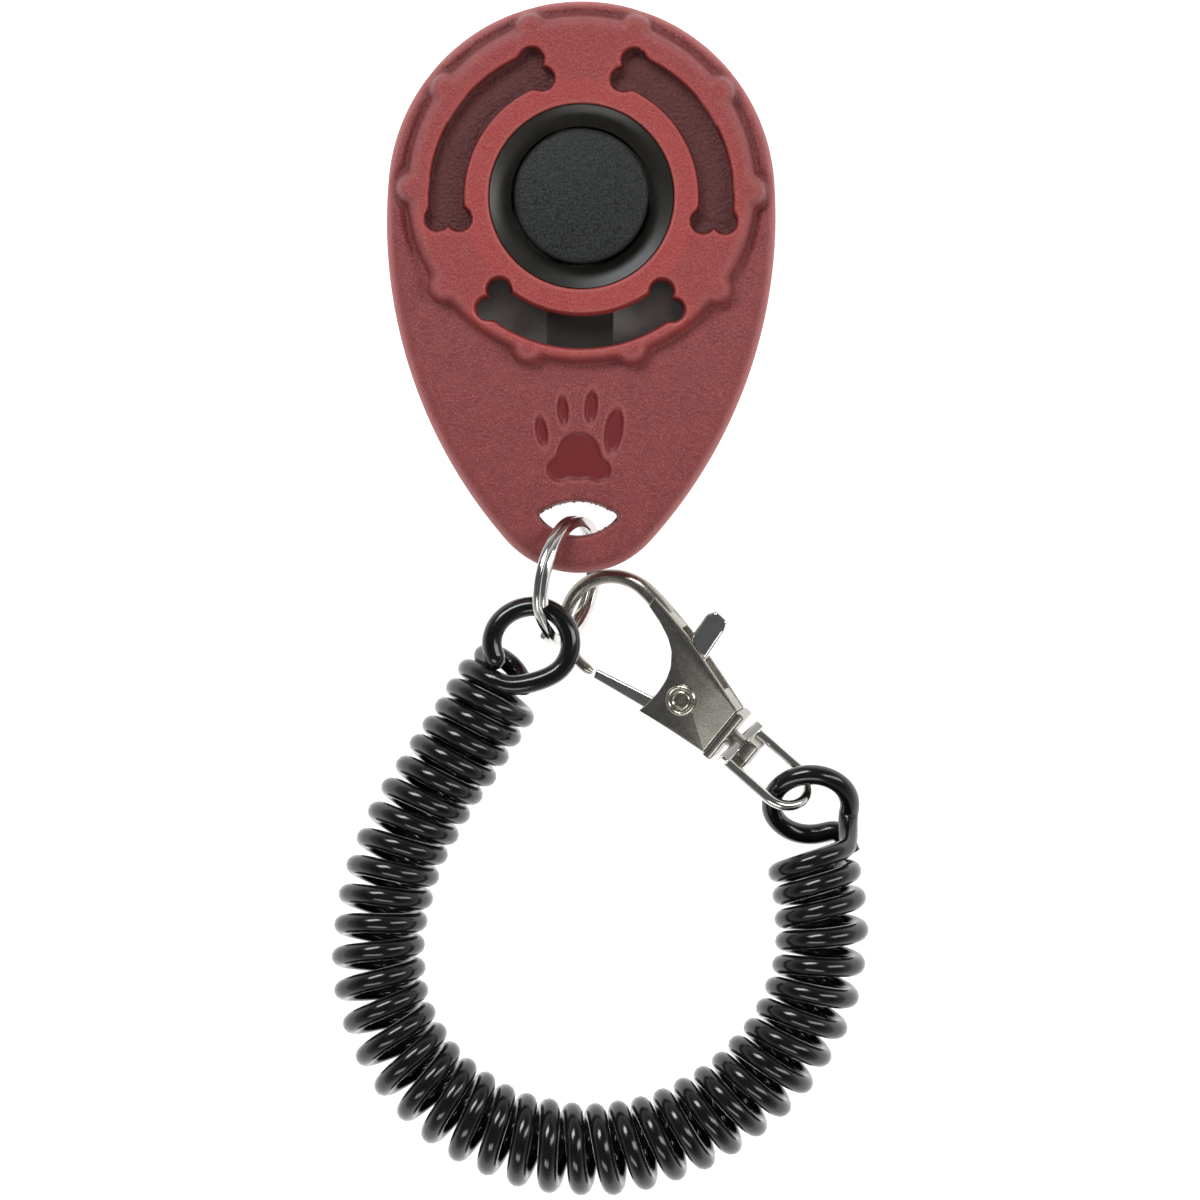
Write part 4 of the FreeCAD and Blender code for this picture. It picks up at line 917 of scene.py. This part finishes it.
# Lobster clasp, in its own frame: origin at the rivet, x to the hook's end, y to the gate, z out of its face.
clasp = {
    "place": (12.36, -46.7, 4.2, 139.3, 7.5, -18.2),
    "cheek": [(-5.8, 2.95, 0.3), (-1.2, 3.6, 1.0), (3.05, 4.3, 0.3), (2.85, 3.3, 0.5), (2.68, 1.2, 1.0),
              (2.85, -0.6, 0.9), (3.35, -2.1, 0.9), (4.4, -3.6, 0.8), (5.7, -4.55, 0.8), (7.6, -5.35, 0.9),
              (9.8, -5.95, 0.6), (9.9, -7.2, 0.5), (7.3, -6.85, 1.2), (4.0, -6.3, 1.5), (1.0, -5.45, 1.5),
              (-2.4, -4.5, 1.5), (-5.8, -3.5, 0.3)],
    "halfThick": 1.5, "channel": 0.9, "edge": 0.22,
    # the solid ends of the body, either side of the lever's channel
    "rearEnd": [(-5.8, 2.9, 0.3), (-3.0, 3.3, 0.2), (-3.0, -4.25, 0.2), (-5.8, -3.45, 0.3)],
    "hookEnd": [(5.2, -4.35, 0.3), (7.6, -5.4, 0.5), (9.7, -6.05, 0.4), (9.75, -7.1, 0.4), (7.3, -6.8, 0.8),
                (5.2, -6.5, 0.2)],
    "endOverlap": 0.1, "endEdge": 0.05,
    "hookRadius": 5.9, "hookX": 11.5, "hookY": -0.8, "hookFrom": -90, "hookTo": 103, "hookSteps": 60,
    "hookLead": [(7.6, -6.1, 0), (8.6, -6.35, 0), (9.6, -6.55, 0), (10.6, -6.66, 0)],
    "wireAt": [0, 0.12, 0.55, 0.9, 0.97, 1], "wireRadii": [1.0, 0.86, 0.76, 0.6, 0.6, 0.35],
    "lever": [(0.9, -5.2, 0.8), (1.25, -9.4, 0.5), (1.7, -10.5, 0.8), (3.4, -10.55, 0.8), (4.1, -9.5, 0.6),
              (3.8, -6.0, 0.8), (2.4, -1.2, 1.0), (2.2, 2.0, 0.4), (10.0, 4.15, 0.4), (9.65, 5.3, 0.4),
              (1.6, 3.7, 0.6), (-0.9, 1.9, 0.6), (-1.9, 0.2, 0.6), (-1.2, -2.0, 0.8)],
    "leverHalf": 0.75, "leverEdge": 0.34, "leverEdgeSteps": 4,
    # rivet: radius, and height above its seat
    "rivet": [(nearAxis, -0.14), (0.75, -0.16), (0.8, -0.02), (0.95, 0.12), (1.08, 0.08), (1.16, -0.06),
              (1.24, -0.06), (1.34, 0.1), (1.5, 0.2), (1.68, 0.16), (1.8, 0.02), (1.85, -0.14)],
    "rivetSeat": 0.15, "rivetCrease": 50,
    # blocks: from and to along x, half width, half height and edge
    "collar": (-6.9, -5.8, 3.3, 1.8, 0.25), "swivelY": -0.2,
    "studRadius": 1.1, "studOverlap": 0.3, "studEnd": 9.0, "studHead": (-10.4, -8.6, 1.6, 1.5, 0.3),
    "eyeTurn": 54, "eyeHalf": 3.0, "eyeWire": 0.62, "eyeBase": (-8.9, -7.7, 3.62, 0.9, 0.28), "eyeBend": -14.9,
    "eyeLegStart": -8.0, "eyeLegGap": 0.4, "eyeLegSteps": 8, "eyeBendSteps": 28,
}
claspFrame = placing(*clasp["place"])


def blockShape(nearX, farX, halfY, halfZ, edge):
    # A block with rounded corners that lies along x.
    corners = [(-halfY, -halfZ, edge * 1.5), (halfY, -halfZ, edge * 1.5),
               (halfY, halfZ, edge * 1.5), (-halfY, halfZ, edge * 1.5)]
    lying = Matrix(((0, 0, 1, 0), (1, 0, 0, 0), (0, 1, 0, 0), (0, 0, 0, 1)))
    return moved(plateShape(corners, nearX, farX, edge), lying)


def wireShape(path, radii, upright):
    sections = [ovalSection(r, r) for r in radii]
    return sweptShape(path, sections, [upright] * len(path))


def makeClaspBody():
    thick, channel, edge = clasp["halfThick"], clasp["channel"], clasp["edge"]
    cheek = clasp["cheek"]
    parts = [plateShape(cheek, channel, thick, edge), plateShape(cheek, -thick, -channel, edge)]
    endHalf = channel + clasp["endOverlap"]
    for corners in (clasp["rearEnd"], clasp["hookEnd"]):
        parts.append(plateShape(corners, -endHalf, endHalf, clasp["endEdge"]))
    sweep = np.radians(np.linspace(clasp["hookFrom"], clasp["hookTo"], clasp["hookSteps"]))
    arc = np.stack([clasp["hookX"] + clasp["hookRadius"] * np.cos(sweep),
                    clasp["hookY"] + clasp["hookRadius"] * np.sin(sweep), np.zeros_like(sweep)], axis=1)
    path = np.concatenate([clasp["hookLead"], arc])
    radii = np.interp(np.linspace(0, 1, len(path)), clasp["wireAt"], clasp["wireRadii"])
    parts.append(wireShape(path, radii, (0, 0, 1)))
    parts.append(moved(blockShape(*clasp["collar"]), Matrix.Translation((0, clasp["swivelY"], 0))))
    piece = addMesh("claspBody", *moved(joined(parts), claspFrame))
    settle(creased(piece), "clasp", ["hook_body"], looks["claspMetal"])


def makeLever():
    half = clasp["leverHalf"]
    shape = plateShape(clasp["lever"], -half, half, clasp["leverEdge"], clasp["leverEdgeSteps"])
    piece = addMesh("gateLever", *moved(shape, claspFrame))
    settle(creased(piece), "gate", ["gate_lever"], looks["brightNickel"])


def makeRivet():
    seat = clasp["halfThick"] + clasp["rivetSeat"]
    face = [(radius, seat + height) for radius, height in clasp["rivet"]]
    back = [(radius, -height) for radius, height in face]
    piece = addMesh("rivet", *moved(latheShape(back + face[::-1]), claspFrame))
    settle(creased(piece, clasp["rivetCrease"]), "clasp", ["gate_rivet"], looks["rivetMetal"])


def makeSwivel():
    onAxis = Matrix.Translation((0, clasp["swivelY"], 0))
    along = Matrix.Rotation(math.radians(-90), 4, "Y")
    shankStart = -clasp["collar"][1] - clasp["studOverlap"]
    shank = latheShape([(clasp["studRadius"], shankStart), (clasp["studRadius"], clasp["studEnd"])], 32)
    stud = joined([moved(shank, along), blockShape(*clasp["studHead"])])
    piece = addMesh("swivelStud", *moved(stud, claspFrame @ onAxis))
    settle(creased(piece), "clasp", ["swivel_stud"], looks["claspMetal"])

    half, bendX = clasp["eyeHalf"], clasp["eyeBend"]
    legX = np.linspace(clasp["eyeLegStart"], bendX + clasp["eyeLegGap"], clasp["eyeLegSteps"])
    turn = np.radians(np.linspace(90, 270, clasp["eyeBendSteps"]))
    bend = [(bendX + half * math.cos(a), half * math.sin(a), 0) for a in turn]
    path = [(x, half, 0) for x in legX] + bend + [(x, -half, 0) for x in legX[::-1]]
    wire = wireShape(path, [clasp["eyeWire"]] * len(path), (0, 0, 1))
    eye = joined([blockShape(*clasp["eyeBase"]), wire])
    turned = claspFrame @ onAxis @ Matrix.Rotation(math.radians(clasp["eyeTurn"]), 4, "X")
    piece = addMesh("swivelEye", *moved(eye, turned))
    settle(creased(piece), "swivel", ["swivel_eye"], looks["brightNickel"])


makeClaspBody()
makeLever()
makeRivet()
makeSwivel()
print("clasp done")


# The parts that keep their designed shape, each with its finish.
carried = {
    "back_shell": "shellBack", "case_screws": "screwSteel", "dish_insert": "dishPlastic",
    "strip_holder": "innerPlastic", "strip_rivets": "screwSteel", "strip_clamp": "springSteel",
    "strike_plate": "springSteel", "button_cap": "buttonRubber", "button_plunger": "innerPlastic",
    "button_damper": "damperFoam", "gate_spring": "springSteel",
}
for node, finish in carried.items():
    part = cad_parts[node]
    part.data.materials.clear()
    part.data.materials.append(looks[finish])
print("carried parts:", len(carried))


# Floor, world and lights.
studio = {
    "floor": (0.5, 0.5, 0.5),
    "floorGlow": 0.93, "floorRoughness": 0.9, "floorSpecular": 0.1,
    "floorSide": 3.0, "floorLevel": -0.0004,  # metres
    "middle": (0.0026, -0.0356, 0.006),  # of the object, in metres
    "skyEdges": (0.08, 0.55),
    "horizon": (0.75, 0.75, 0.75),
    "zenith": (0.10, 0.105, 0.11),
    "worldStrength": 1.0,
    # name: (place, size, power in watts, colour), all pointing at the middle of the object; metres
    "lamps": {
        "keyPanel": ((-0.22, 0.38, 0.55), (0.40, 0.20), 3.6, (0.93, 0.97, 1.0)),
        "fillPanel": ((0.42, 0.05, 0.42), (0.16, 0.45), 1.5, (1.0, 0.98, 0.95)),
        "frontPanel": ((-0.10, -0.50, 0.45), (0.45, 0.16), 1.1, (1.0, 0.99, 0.97)),
    },
}


def makeStudio():
    floorMesh = bpy.data.meshes.new("studioFloor")
    side, level = studio["floorSide"], studio["floorLevel"]
    corners = [(-side, -side, level), (side, -side, level), (side, side, level), (-side, side, level)]
    floorMesh.from_pydata(corners, [], [(0, 1, 2, 3)])
    floor = bpy.data.objects.new("studioFloor", floorMesh)
    bpy.context.scene.collection.objects.link(floor)
    material, _, shader = newMaterial("studioPaper")
    shader.inputs["Base Color"].default_value = (*studio["floor"], 1)
    shader.inputs["Roughness"].default_value = studio["floorRoughness"]
    shader.inputs["Specular IOR Level"].default_value = studio["floorSpecular"]
    shader.inputs["Emission Color"].default_value = (1, 1, 1, 1)
    shader.inputs["Emission Strength"].default_value = studio["floorGlow"]
    floorMesh.materials.append(material)

    world = bpy.data.worlds.new("studioWorld")
    bpy.context.scene.world = world
    world.use_nodes = True
    tree = world.node_tree
    background = tree.nodes["Background"]
    place = tree.nodes.new("ShaderNodeTexCoord")
    split = tree.nodes.new("ShaderNodeSeparateXYZ")
    tree.links.new(place.outputs["Generated"], split.inputs["Vector"])
    sky = rampInto(tree, split.outputs["Z"], studio["skyEdges"], (studio["horizon"], studio["zenith"]))
    tree.links.new(sky, background.inputs["Color"])
    background.inputs["Strength"].default_value = studio["worldStrength"]

    middle = Vector(studio["middle"])
    for name, (place, size, power, colour) in studio["lamps"].items():
        lamp = bpy.data.lights.new(name, "AREA")
        lamp.shape = "RECTANGLE"
        lamp.size, lamp.size_y = size
        lamp.energy = power
        lamp.color = colour
        holder = bpy.data.objects.new(name, lamp)
        holder.location = place
        holder.rotation_euler = (middle - Vector(place)).to_track_quat("-Z", "Y").to_euler()
        bpy.context.scene.collection.objects.link(holder)
    bpy.context.scene.view_settings.view_transform = "Standard"


makeStudio()

print("scene ready")
